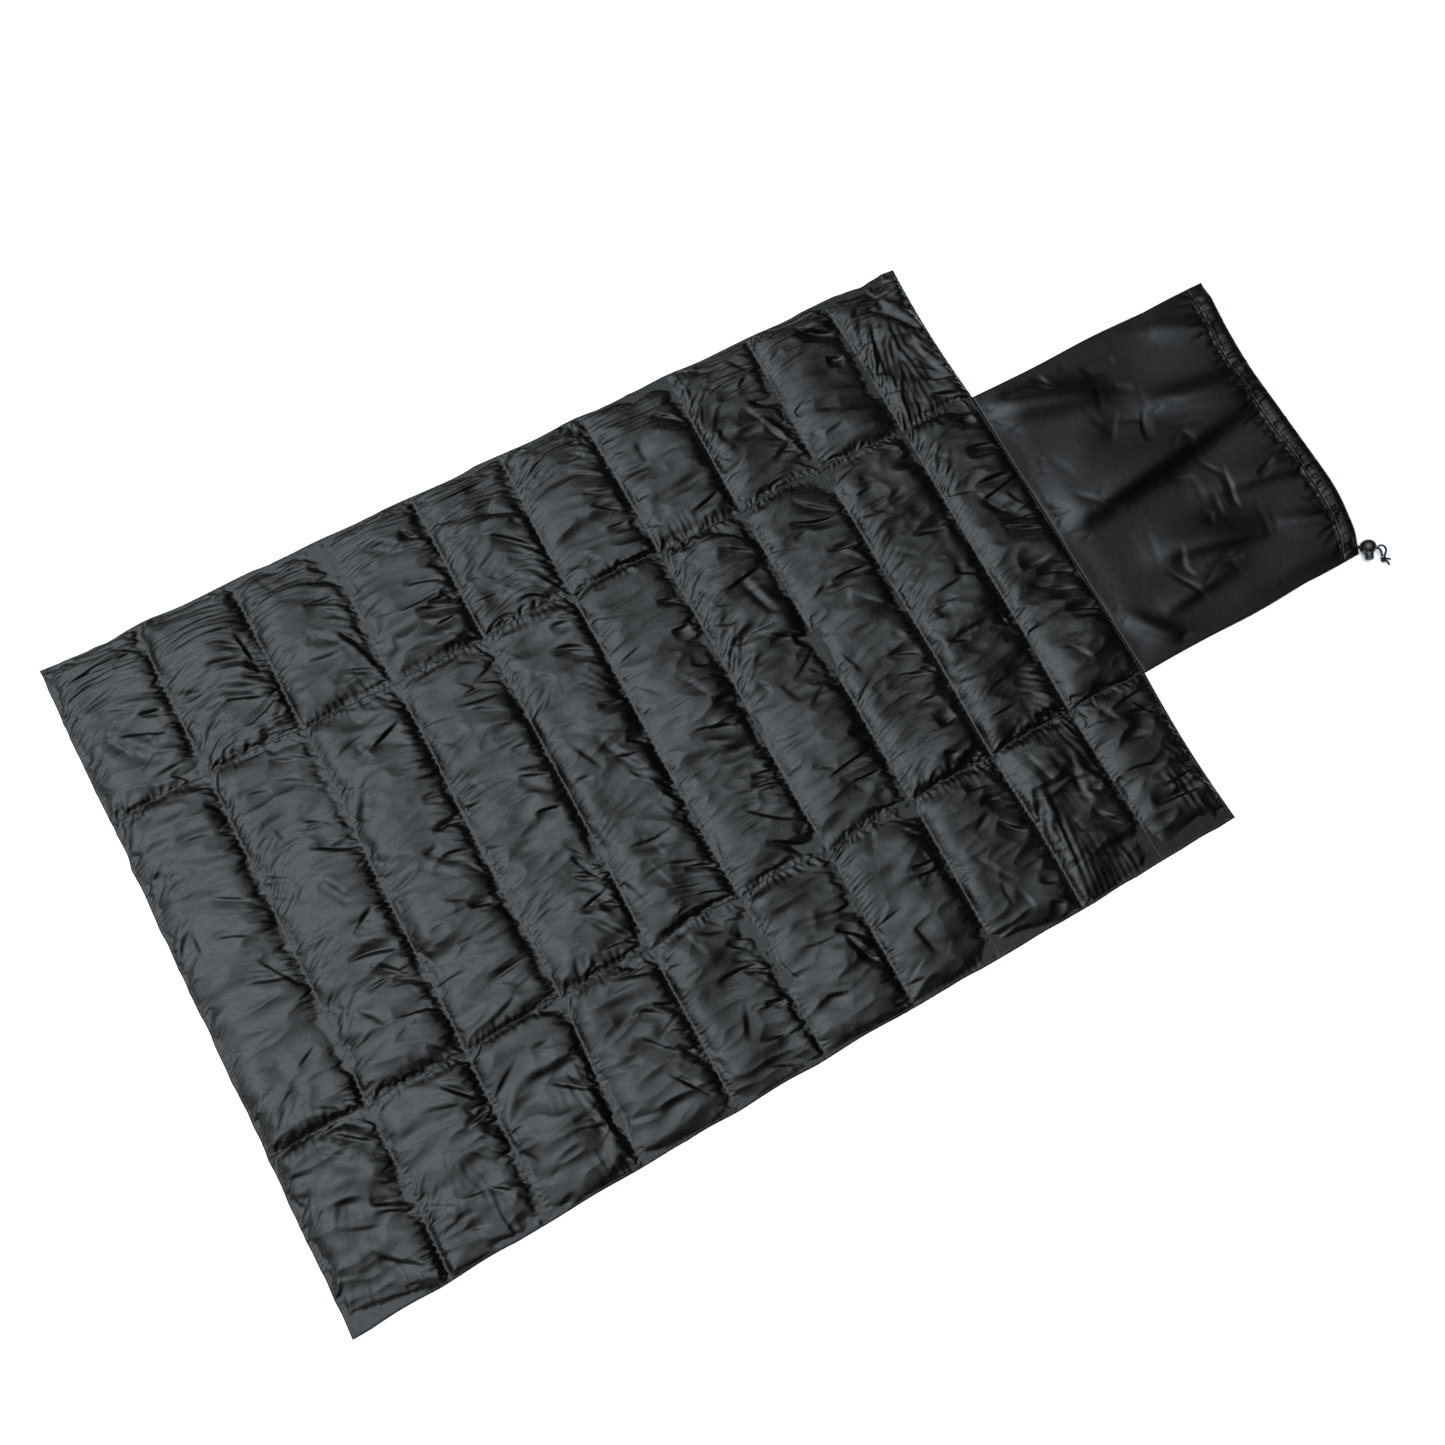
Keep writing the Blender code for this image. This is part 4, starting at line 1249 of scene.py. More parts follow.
    def _cross_threads(self, column: Column, thread: Material) -> None:
        """The stitching of one column's nine cross seams."""
        low, high = self.marks_y[column.number], self.marks_y[column.number + 1]
        lines = [self._seam_line(slice(low, high + 1), mark) for mark in self.marks_x[1:-1]]
        nodes = [f"{column.name}_cross_stitch_{k}" for k in range(1, self.channels)]
        self._carry(Stitching().piece(f"{column.name}_cross_stitching", thread, lines, nodes), column)

    def _length_threads(self, thread: Material) -> None:
        """The stitching of the two lengthwise seams, which rides on the centre column."""
        for name, mark in (("right", self.marks_y[1]), ("left", self.marks_y[2])):
            line = self._seam_line(slice(mark, mark + 1), ALL)
            obj = Stitching(radius=0.0005).piece(f"{name}_lengthwise_stitching", thread, [line],
                                                 [f"{name}_lengthwise_stitch"])
            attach(obj, Body.CENTRE.value)

    def _edge_threads(self, thread: Material) -> None:
        """The hem stitching, a few points in from each edge, column by column."""
        inset = 2
        for column in self.columns:
            low, high = self.marks_y[column.number], self.marks_y[column.number + 1]
            rows = slice(max(low, inset), min(high, len(self.y) - 1 - inset) + 1)
            lines = [self._seam_line(rows, inset), self._seam_line(rows, len(self.x) - 1 - inset)]
            nodes = ["plain_end_stitch", "sack_end_stitch"]
            if column.body is not Body.CENTRE:
                row = inset if column.body is Body.RIGHT else len(self.y) - 1 - inset
                lines.append(self._seam_line(slice(row, row + 1), slice(inset, -inset)))
                nodes = [f"{column.name}_edge_stitch"]
            self._carry(Stitching().piece(f"{column.name}_hem_stitching", thread, lines, nodes), column)


# ---- the stuff sack
@dataclass(frozen=True)
class SoftFold:
    """A long low fold in the sack's cloth: gentle on its +Y side, steeper on its -Y side."""

    start: tuple[float, float]
    end: tuple[float, float]
    height: float
    gentle: float
    steep: float

    def raised(self, x: Array, y: Array) -> Array:
        """How much it raises the places (x, y): height sin(pi s)^0.6 exp(-(c/w)^2), w by the side of c."""
        (x0, y0), (x1, y1) = self.start, self.end
        length = math.hypot(x1 - x0, y1 - y0)
        ux, uy = (x1 - x0) / length, (y1 - y0) / length
        along = ((x - x0) * ux + (y - y0) * uy) / length
        across = (y - y0) * ux - (x - x0) * uy
        width = np.where(across > 0, self.gentle, self.steep)
        beyond = np.maximum(0.0, np.abs(along - 0.5) - 0.5) * length
        share = 0.25 + 0.75 * np.sin(math.pi * np.clip(along, 0.0, 1.0)) ** 0.6
        return self.height * share * np.exp(-(across / width) ** 2 - (beyond / 0.02) ** 2)


@dataclass
class StuffSack:
    """The flat stuff sack sewn to the quilt's end, with a gathered drawcord casing round its mouth."""

    join_x: float = 0.482
    half_width: float = 0.2515
    casing: float = 0.028
    wall: float = 0.0006
    casing_height: float = 0.0044
    panel_depth: float = 0.41  # about how far the casing's stitching is from the quilt
    side_gap: float = 0.0018  # between the two panels where they are sewn at the sides
    side_height: float = 0.0022  # what the sides already give the top cloth
    body_height: float = 0.0040
    mouth_rise: float = 0.0062  # how much higher it lies beside the casing
    join_height: float = 0.0016
    crown: float = 0.0230  # the highest the top cloth may go
    ground: float = 0.0002  # the lowest the lower cloth may go
    sag: float = 0.0017  # the highest it may go
    mouth: tuple[tuple[float, float], ...] = (
        (-0.2515, 0.893), (-0.235, 0.899), (-0.20, 0.909), (-0.145, 0.9175), (-0.08, 0.917), (0.0, 0.913),
        (0.08, 0.9105), (0.15, 0.913), (0.21, 0.920), (0.2515, 0.9275))
    folds: tuple[SoftFold, ...] = (
        SoftFold((0.49, 0.000), (0.87, 0.045), 0.0175, 0.060, 0.020),
        SoftFold((0.46, 0.225), (0.66, 0.165), 0.0160, 0.026, 0.022),
        SoftFold((0.60, -0.105), (0.78, -0.150), 0.0100, 0.035, 0.014),
        SoftFold((0.478, -0.150), (0.560, -0.235), 0.0080, 0.018, 0.010),
        SoftFold((0.72, 0.110), (0.89, 0.060), 0.0100, 0.026, 0.012),
        SoftFold((0.72, -0.055), (0.90, -0.085), 0.0070, 0.030, 0.014),
        SoftFold((0.80, 0.215), (0.90, 0.165), 0.0060, 0.018, 0.012),
        SoftFold((0.56, -0.185), (0.70, -0.175), 0.0060, 0.018, 0.012),
        SoftFold((0.80, -0.150), (0.90, -0.190), 0.0060, 0.016, 0.012),
        SoftFold((0.55, 0.080), (0.64, 0.115), 0.0035, 0.030, 0.020),
    )
    crumples: int = 34
    crumple: CreaseKind = CreaseKind(
        (0.025, 0.090), (0.0008, 0.0030), (0.0030, 0.0070), (0.008, 0.022), from_seam=False)
    gather: CreaseKind = CreaseKind(
        (0.012, 0.045), (0.0018, 0.0048), (0.0026, 0.0036), (0.004, 0.008), from_seam=True)
    gather_gap: Span = (0.006, 0.014)  # how far apart the gathers are at the casing
    join_gap: Span = (0.014, 0.034)  # and at the quilt
    flat_depth: float = 0.446  # from the quilt to the mouth, laid flat
    stages: tuple[RelaxPass, ...] = (
        RelaxPass((0.0080, 0.0080), 90, 0.06, 0.030, 0.020, 0.02, 0.0008),
        RelaxPass((0.0040, 0.0040), 60, 0.06, 0.020, 0.014, 0.01, 0.0002),
        RelaxPass((0.0026, 0.0026), 30, 0.05, 0.012, 0.010, 0.005, 0.0001),
    )

    def mouth_x(self, y: Array) -> Array:
        """Where the mouth's edge is at each y: a smooth line through the mouth's points."""
        knots = np.asarray([(y0, x0, 0.0) for y0, x0 in self.mouth])
        route = smooth_route(knots, 12)
        return np.interp(y, route[:, 0], route[:, 1])

    def _height(self, x: Array, y: Array, from_mouth: Array) -> Array:
        """Where the top cloth lies: low at the sides and at the quilt, up to the casing at the mouth.

        Args:
            x: places along the sack.
            y: places across it.
            from_mouth: how far they are from the mouth's edge.

        Returns:
            The heights.
        """
        side = smooth_step((self.half_width - np.abs(y)) / 0.035)
        away = smooth_step((x - self.join_x) / 0.05)
        body = self.body_height + self.mouth_rise * smooth_step(1.0 - (from_mouth - self.casing) / 0.16)
        rounded = np.sin(math.pi * np.clip(from_mouth / self.casing, 0.0, 1.0)) ** 0.7
        casing = np.where(from_mouth < self.casing, self.casing_height * rounded, 0.0)
        lifted = sum(fold.raised(x, y) for fold in self.folds)
        above = body - self.side_height + casing + lifted * (from_mouth > self.casing)
        return self.side_gap + 0.0003 + side * away * above

    def _cloth(self, x_share: Array, y: Array, mark: int, upper: bool) -> Cloth:
        """One panel of the sack on a grid from the quilt to the mouth.

        Args:
            x_share: places from 0 at the quilt, 1 at the casing's stitching, to 2 at the mouth.
            y: places across.
            mark: the number of the casing's stitching among x_share.
            upper: whether this is the top panel.

        Returns:
            The cloth.
        """
        rows, columns = len(y), len(x_share)
        rng = np.random.default_rng(31 if upper else 32)
        edge = self.mouth_x(y)[:, None]
        panel = np.clip(x_share, 0.0, 1.0)[None] * (edge - self.casing - self.join_x)
        x = self.join_x + panel + np.clip(x_share - 1.0, 0.0, 1.0)[None] * self.casing
        across = np.broadcast_to(y[:, None], x.shape)
        flat = np.stack([x, across, np.zeros_like(x)])
        aim = flat.copy()
        gathers = np.exp(-((edge - x - self.casing / 2) / 0.024) ** 2)
        uneven = soft_noise((rows, columns), (9, 8), rng)
        if upper:
            aim[2] = self._height(x, across, edge - x) + 0.0009 * uneven * np.minimum(
                1.0, (self.half_width - np.abs(across)) / 0.03)
        else:
            aim[2] = 0.0003 + 0.0008 * np.maximum(0.0, uneven)
        pinned = np.zeros((rows, columns), bool)
        pinned[:, 0] = pinned[0] = pinned[-1] = True
        pinned[:, mark] = pinned[:, -1] = True
        floor, ceiling = (self.join_height, self.crown) if upper else (self.ground, self.sag)
        aim[2, 0] = aim[2, -1] = self.side_gap + self.ground if upper else self.ground
        aim[2, :, 0] = floor
        sway = 0.0012 * soft_noise((1, columns), (1, 6), rng)[0]
        aim[1] += np.where(y[:, None] > 0, sway, -sway) * np.exp(-(self.half_width - np.abs(across)) / 0.02)
        spare_x = 0.006 + 0.004 * soft_noise((rows, columns), (6, 6), rng)
        spare_y = 0.007 + 0.005 * soft_noise((rows, columns), (6, 6), rng) + 0.055 * gathers
        spare_y += 0.010 * np.exp(-((x - self.join_x) / 0.015) ** 2)
        scale, least = (1.0 if upper else 0.5), 0.0005
        return Cloth(flat, aim, np.maximum(scale * spare_x, least), np.maximum(scale * spare_y, least),
                     pinned, floor, ceiling)

    def _settled(self, upper: bool) -> tuple[Array, int]:
        """Runs the passes for one panel.

        Args:
            upper: whether this is the top panel.

        Returns:
            The cloth, and the number of the casing's stitching among its columns.
        """
        points, old = None, None
        stages = self.stages
        for number, stage in enumerate(stages):
            share, marks = stations((0.0, 1.0, 2.0), stage.pitch[0] / self.panel_depth)
            casing_steps = 2 * max(2, round(self.casing / stage.pitch[0] / 2))
            share = np.concatenate([share[:marks[1] + 1], np.linspace(1.0, 2.0, casing_steps + 1)[1:]])
            y, _ = stations((-self.half_width, self.half_width), stage.pitch[1])
            cloth = self._cloth(share, y, marks[1], upper)
            if points is not None:
                points = resampled(points, old, (share, y))
            points = cloth.settle(points, stage, seed=60 + number)
            old = (share, y)
        return points, marks[1]

    def build(self, nylon: Material, thread: Material) -> None:
        """Makes the sack's cloth, its two casings and its stitching.

        Args:
            nylon: the sack's cloth.
            thread: its thread.
        """
        top, mark = self._settled(True)
        bottom, _ = self._settled(False)
        pressed = self._pressed(top, mark)
        top[2] = np.maximum(top[2] - pressed, np.minimum(top[2], self.side_gap + 0.0008))
        bottom[2] = np.minimum(bottom[2], top[2] - self.side_gap + 0.0001)
        cloth = self._panels(top[:, :, :mark + 1], bottom[:, :, :mark + 1], nylon)
        upper = self._hem("upper_casing", top[:, :, mark:], True, nylon)
        lower = self._hem("lower_casing", bottom[:, :, mark:], False, nylon)
        self._stitches(top, bottom, mark, thread)
        log.info("stuff sack: %d by %d points a panel", top.shape[1], top.shape[2])

    def _pressed(self, top: Array, mark: int) -> Array:
        """The sharp creases of the top cloth: crumples inside, gathers beside the casing and the quilt.

        Args:
            top: (3, rows, columns) places of the settled cloth.
            mark: the number of the casing's stitching among the columns.

        Returns:
            How far the cloth is let down.
        """
        rng = np.random.default_rng(91)
        x, y = top[0], np.broadcast_to(top[1].mean(axis=1)[:, None], top[0].shape)
        crumples, gathers = CreaseField(x, y, rng), CreaseField(x, y, rng)
        for _ in range(self.crumples):
            place = (rng.uniform(self.join_x + 0.01, 0.88), rng.uniform(-self.half_width, self.half_width))
            crumples.press(self.crumple, place, rng.normal(165.0, 45.0))
        for place in np.cumsum(rng.uniform(*self.gather_gap, 50)) - self.half_width:
            edge = float(self.mouth_x(np.array([place]))[0]) - self.casing
            gathers.press(self.gather, (edge, place), 180.0 + rng.normal(0.0, 16.0))
            gathers.press(self.gather, (edge + 0.001, place), rng.normal(0.0, 10.0))
        for place in np.cumsum(rng.uniform(*self.join_gap, 22)) - self.half_width:
            gathers.press(self.gather, (self.join_x + 0.002, place), rng.normal(0.0, 24.0))
        columns = np.arange(top.shape[2])
        sewn = np.minimum(np.minimum(np.abs(columns - mark), columns), columns[-1] - columns) / 2.0
        side = smooth_step((self.half_width - np.abs(y)) / 0.012)
        inner = crumples.down * smooth_step(sewn / 4.0)[None]
        return (inner + gathers.down * np.clip(sewn, 0.0, 1.0)[None]) * side

    def _panels(self, top: Array, bottom: Array, nylon: Material) -> Piece:
        """The sack's two panels as one thin-walled bag, closed at the quilt and open at the casing.

        The outer skin goes round over the top and back under the bottom; the inner one is one wall
        inside it.

        Args:
            top: (3, rows, columns) places of the top panel.
            bottom: the same of the bottom panel.
            nylon: its finish.

        Returns:
            The bag.
        """
        outer = np.concatenate([top, bottom[:, ::-1]], axis=1)
        inner = outer.copy()
        half = top.shape[1]
        inner[2, :half] -= self.wall
        inner[2, half:] += self.wall
        inner[1] -= np.sign(inner[1]) * self.wall * np.exp(-(self.half_width - np.abs(inner[1])) / 0.002)
        inner[0] += self.wall * np.exp(-(inner[0] - self.join_x) / 0.002)
        rows, columns = outer.shape[1:]
        coords = np.stack([np.concatenate([top[0], bottom[0, ::-1] + 0.6]),
                           np.concatenate([top[1], bottom[1, ::-1]])], axis=-1)
        parts = MeshParts()
        skin = parts.add_points(outer.transpose(1, 2, 0), coords)
        lining = parts.add_points(inner.transpose(1, 2, 0), coords)
        ids = np.arange(rows * columns).reshape(rows, columns)
        loop = np.concatenate([ids, ids[:1]])
        near, far, rim = ids[:half, 0], ids[half:, 0][::-1], loop[:, -1]
        for first, edge in ((skin, Edge.ALONG), (lining, Edge.AGAINST)):
            around = (loop[:-1, :-1], loop[:-1, 1:], loop[1:, 1:], loop[1:, :-1])
            across = (near[:-1], near[1:], far[1:], far[:-1])
            for corners in (around, across):
                parts.add_faces(*(first + corner for corner in corners), edge=edge)
        parts.add_faces(skin + rim[:-1], lining + rim[:-1], lining + rim[1:], skin + rim[1:])
        bag = parts.build("stuff_sack_cloth", nylon)
        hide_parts("sack_bottom_panel", "sack_top_panel", "sack_joining_seam", "sack_left_seam",
                    "sack_right_seam")
        self._carry(bag)
        return bag

    def _hem(self, name: str, skin: Array, upper: bool, nylon: Material) -> Piece:
        """One half of the casing as a closed flattened tube with the gathers of the cloth it is made from.

        The outer skin is the settled cloth. The inner one lies under it, by sin(pi s)^0.5 of the
        casing's height at the share s from its stitching to the mouth.

        Args:
            name: the CAD node that it stands for.
            skin: (3, rows, columns) places of the settled cloth from the stitching to the mouth.
            upper: whether this is the upper casing.
            nylon: its finish.

        Returns:
            The casing.
        """
        rows, columns = skin.shape[1:]
        share = np.linspace(0.0, 1.0, columns)[None]
        low = np.exp(-(self.half_width - np.abs(skin[1])) / 0.010)
        deep = self.wall + (self.casing_height - self.wall) * np.sin(math.pi * share) ** 0.5 * (1 - 0.7 * low)
        outer, inner = skin.copy(), skin.copy()
        if upper:
            inner[2] = outer[2] - np.minimum(deep, outer[2] - 0.0022)
        else:
            inner[2] = outer[2] + np.minimum(deep, 0.0040)
            outer, inner = inner, outer
        parts = MeshParts()
        coords = np.stack([skin[0], skin[1]], axis=-1)
        over = parts.add_points(outer.transpose(1, 2, 0), coords)
        under = parts.add_points(inner.transpose(1, 2, 0), coords + [0.3, 0.0])
        parts.add_grid(over, rows, columns, Edge.ALONG)
        parts.add_grid(under, rows, columns, Edge.AGAINST)
        ids = np.arange(rows * columns).reshape(rows, columns)
        for line, edge in ((ids[0], Edge.AGAINST), (ids[-1], Edge.ALONG), (ids[:, 0], Edge.ALONG),
                           (ids[:, -1], Edge.AGAINST)):
            parts.add_faces(over + line[:-1], over + line[1:], under + line[1:], under + line[:-1], edge=edge)
        hem = parts.build(f"{name}_hem", nylon)
        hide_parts(name)
        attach(hem, Body.SACK.value)
        return hem

    def _stitches(self, top: Array, bottom: Array, mark: int, thread: Material) -> None:
        """The stitching of both casings and of the seam that joins the sack to the quilt."""
        for node, cloth, line in (("upper_casing_stitch", top, mark), ("lower_casing_stitch", bottom, mark),
                                  ("sack_joining_stitch", top, 1)):
            obj = Stitching(radius=0.0004).piece(f"{node}ing", thread, [cloth[:, 2:-2, line].T], [node])
            if line == mark:
                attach(obj, Body.SACK.value)
            else:
                self._carry(obj)

    def _carry(self, obj: Piece) -> None:
        """Bakes the place of a piece of the sack into its mesh."""
        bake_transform(obj)


# ---- the drawcord and its lock
@dataclass
class Drawcord:
    """The braided cord: a stretch inside the casing, two free strands through the lock, and the knot."""

    diameter: float = 0.0030
    exit_x: float = 0.891625
    exit_y: float = -0.2238
    upper_z: float = 0.0115
    lower_z: float = 0.0023
    ball: Point = (0.905225, -0.2505, 0.0120)
    ball_radius: float = 0.0120
    heading: float = -28.0
    slot_shift: float = 0.0015
    strand_pitch: float = 0.0036
    knot: Point = (0.921425, -0.2786, 0.0050)
    knot_radius: float = 0.0050
    passing: tuple[float, ...] = (-1.1, -0.5, 0.0, 0.5, 1.1)
    into_lock: Point = (-0.0158, 0.0145, -0.0020)
    upper_loop: tuple[Point, ...] = ((0.0185, -0.0068, 0.0010), (0.0247, -0.0112, -0.0008),
                                     (0.0262, -0.0175, -0.0035), (0.0222, -0.0232, -0.0060))
    lower_loop: tuple[Point, ...] = ((0.0168, -0.0098, -0.0035), (0.0190, -0.0145, -0.0055),
                                     (0.0186, -0.0200, -0.0070))
    tails: tuple[Span, ...] = ((0.0126, -0.0056), (0.0058, -0.0123))
    knot_cord: float = 0.0013  # radius of the cord where it is pulled tight
    tail_radius: float = 0.0014

    @property
    def along(self) -> Array:
        """The way the strands run through the lock."""
        turn = math.radians(self.heading)
        return np.array([math.cos(turn), math.sin(turn), 0.0])

    @property
    def thumb(self) -> Array:
        """The way the plunger sticks out."""
        return np.array([self.along[1], -self.along[0], 0.0])

    def strand(self, upper: bool) -> Array:
        """The middle of one free strand, from the casing's end through the lock to the knot.

        Args:
            upper: whether this is the upper strand.

        Returns:
            (n, 3) places an equal way apart.
        """
        ball, knot = np.array(self.ball), np.array(self.knot)
        start = np.array([self.exit_x, self.exit_y, self.upper_z if upper else self.lower_z])
        level = self.thumb * self.slot_shift + [0.0, 0.0, (0.5 if upper else -0.5) * self.strand_pitch]
        inside = [ball + level + self.along * share * self.ball_radius for share in self.passing]
        beyond = [ball + np.array(offset) for offset in (self.upper_loop if upper else self.lower_loop)]
        approach = unit(beyond[-1] - knot) * self.knot_radius
        knots = [start, start - [0.0, self.diameter, 0.0], ball + level + np.array(self.into_lock),
                 *inside, *beyond, knot + approach]
        return evenly(smooth_route(knots, 12), 96)

    def build(self, braid: Material, sack: StuffSack,
              lock_pieces: Iterable[Piece]) -> None:
        """Makes the cord's pieces.

        Args:
            braid: the cord's finish.
            sack: whose casing holds the hidden stretch.
            lock_pieces: the lock's pieces, which are threaded on the strands; not used.
        """
        knot = self._knot(braid)
        for upper, name, extra in ((True, "upper_strand", [knot, *lock_pieces]), (False, "lower_strand", [])):
            route = self.strand(upper)
            parts = MeshParts()
            add_tube(parts, route, np.full(len(route), self.diameter / 2), 16)
            cord = parts.build(f"{name}_cord", braid)
            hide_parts(name)
            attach(cord, Body.SACK.value)
        self._hidden(braid, sack)

    def _hidden(self, braid: Material, sack: StuffSack) -> None:
        """The stretch inside the casing: along the upper half, round the far side, and back below."""
        y = np.linspace(self.exit_y, sack.half_width - 0.020, 60)
        back = sack.mouth_x(y) - sack.casing / 2
        drop = smooth_step((y - (sack.half_width - 0.055)) / 0.035)
        upper = np.stack([back, y, self.upper_z - 0.0050 * drop], axis=1)
        lower = np.stack([back, y, np.full_like(y, self.lower_z)], axis=1)
        route = evenly(np.concatenate([upper, lower[::-1]]), 240)
        parts = MeshParts()
        add_tube(parts, route, np.full(len(route), self.diameter / 2), 10)
        obj = parts.build("drawcord_inside_casing", braid)
        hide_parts("drawcord_in_casing")
        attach(obj, Body.SACK.value)

    def _knot(self, braid: Material) -> Piece:
        """An overhand knot with two tails.

        The knot is the closed trefoil ((2 + cos 3t) cos 2t, (2 + cos 3t) sin 2t, 1.5 sin 3t) drawn small;
        each tail is a short curve that drops to the ground, with a tip melted round.

        Args:
            braid: its finish.

        Returns:
            The knot.
        """
        t = np.linspace(0.0, math.tau, 121)
        wide = 2.0 + np.cos(3 * t)
        size = self.knot_radius / 4.4
        loop = np.stack([wide * np.cos(2 * t) * size, wide * np.sin(2 * t) * size,
                         1.5 * np.sin(3 * t) * size], axis=1)
        parts = MeshParts()
        centre = np.array(self.knot)
        add_tube(parts, centre + loop, np.full(len(t), self.knot_cord), 12)
        for reach in self.tails:
            tip = np.array([centre[0] + reach[0], centre[1] + reach[1], self.diameter / 2 + 0.0002])
            middle = centre + (tip - centre) * 0.55 + [0.0006, 0.0006, 0.0012]
            route = evenly(smooth_route([centre, middle, tip], 10), 24)
            share = np.linspace(0.0, 1.0, len(route))
            melted = 1.0 - ((share - 0.93) / 0.075).clip(0.0, 1.0) ** 2
            radius = self.tail_radius * np.sqrt(np.clip(melted, 0.02, 1.0))
            radius *= 1.0 + 0.10 * np.exp(-((share - 0.92) / 0.05) ** 2)
            add_tube(parts, route, radius, 14)
        obj = parts.build("overhand_knot", braid)
        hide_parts("cord_knot")
        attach(obj, Body.SACK.value)
        return obj


@dataclass
class CordLock:
    """The ball cord lock: a round housing with a spring plunger through which both strands pass."""

    cord: Drawcord
    radius: float = 0.0120
    bore: float = 0.0066
    bore_floor: float = -0.0088
    travel: float = 0.0030
    plunger_length: float = 0.0225
    web: float = 0.0018
    clearance: float = 0.0003
    wire: float = 0.0007
    coil: float = 0.0042
    turns: float = 4.0
    slot_corner: float = 0.0011
    bevel: float = 0.05  # radians of the ball taken by its rounded lip
    cap_round: float = 0.0016  # radius of the plunger's upper edge
    foot_round: float = 0.0004
    grooves: tuple[Span, ...] = (  # depth, and distance below the plunger's crown
        (0.0, 0.0026), (0.00035, 0.0030), (0.00035, 0.0034), (0.0, 0.0038))
    sides: int = 72

    def _placed(self, points: Array) -> Array:
        """Points drawn with the plunger along Z and the strands along X, moved to the lock's place."""
        along, thumb = self.cord.along, self.cord.thumb
        axes = np.stack([along, np.cross(thumb, along), thumb])
        return points @ axes + np.array(self.cord.ball)

    def _turned(self, name: str, profile: Array, material: Material, flip: bool) -> Piece:
        """A round part: each profile point (r, h) becomes the ring (r cos a, r sin a, h).

        Args:
            name: the piece's name.
            profile: (n, 2) radii and heights, from one pole to the other.
            material: its finish.
            flip: whether the profile runs from top to bottom.

        Returns:
            The part, closed at both poles.
        """
        angle = np.linspace(0.0, math.tau, self.sides, endpoint=False)
        body = profile[1:-1]
        rings = np.stack([body[:, :1] * np.cos(angle), body[:, :1] * np.sin(angle),
                          np.broadcast_to(body[:, 1:], (len(body), self.sides))], axis=-1)
        parts = MeshParts()
        first = parts.add_points(self._placed(rings.reshape(-1, 3)), np.zeros((rings.size // 3, 2)))
        edge, other = (Edge.AGAINST, Edge.ALONG) if flip else (Edge.ALONG, Edge.AGAINST)
        parts.add_grid(first, len(body), self.sides, edge, around=True)
        tips = np.array([[0.0, 0.0, profile[0, 1]], [0.0, 0.0, profile[-1, 1]]])
        poles = parts.add_points(self._placed(tips), np.zeros((2, 2)))
        ring = np.arange(self.sides)
        parts.add_faces(np.full(self.sides, poles), first + ring, first + np.roll(ring, -1), edge=edge)
        last = first + (len(body) - 1) * self.sides
        parts.add_faces(np.full(self.sides, poles + 1), last + ring, last + np.roll(ring, -1), edge=other)
        return parts.build(name, material)

    def _slotted(self, obj: Piece, low: float, high: float) -> None:
        """Cuts the strands' way through a part: a slot with round ends, along X between two heights.

        Args:
            obj: the part.
            low: the slot's lower edge along the plunger.
            high: its upper edge.
        """
        half = (self.cord.strand_pitch + self.cord.diameter) / 2 + self.clearance
        corner, count = self.slot_corner, 24
        angle = np.linspace(0.0, math.tau, count, endpoint=False) + math.tau / (2 * count)
        side = np.sign(np.cos(angle)) * (half - corner) + corner * np.cos(angle)
        level = (0.5 * (low + high) + np.sign(np.sin(angle)) * (0.5 * (high - low) - corner)
                 + corner * np.sin(angle))
        reach = 2 * self.radius
        rings = np.stack([np.stack([np.full(count, x), side, level], axis=1) for x in (-reach, 0.0, reach)])
        parts = MeshParts()
        first = parts.add_points(self._placed(rings.reshape(-1, 3)), np.zeros((rings.size // 3, 2)))
        parts.add_grid(first, len(rings), count, Edge.AGAINST, around=True)
        ring = first + np.arange(count)
        parts.faces.append(ring[None])
        parts.faces.append((ring + 2 * count)[None, ::-1])
        tool = parts.build("slot_tool", obj.data.materials[0])
        cut = obj.modifiers.new("slot", "BOOLEAN")
        cut.operation, cut.solver, cut.object = "DIFFERENCE", "EXACT", tool
        view = bpy.context.evaluated_depsgraph_get()
        shaped = bpy.data.meshes.new_from_object(obj.evaluated_get(view))
        obj.modifiers.clear()
        obj.data = shaped
        bpy.data.objects.remove(tool)

    def _spring(self, foot: float, steel: Material) -> None:
        """The coil under the plunger, which shortens as the plunger is pressed.

        It is the helix (r cos t, r sin t, rising evenly with t) from the bore's floor to the plunger.

        Args:
            foot: the plunger's lower end along its way out, from the ball's centre.
            steel: its finish.
        """
        low, high = self.bore_floor + self.wire / 2 + 0.0003, foot - self.wire / 2 - 0.0003
        share = np.linspace(0.0, 1.0, 121)
        turn = math.tau * self.turns * share
        coil = np.stack([self.coil * np.cos(turn), self.coil * np.sin(turn),
                         low + (high - low) * share], axis=1)
        parts = MeshParts()
        add_tube(parts, self._placed(coil), np.full(len(coil), self.wire / 2), 10)
        spring = parts.build("lock_return_spring", steel)
        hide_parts("lock_spring")
        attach(spring, Body.LOCK.value)
        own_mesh(spring)

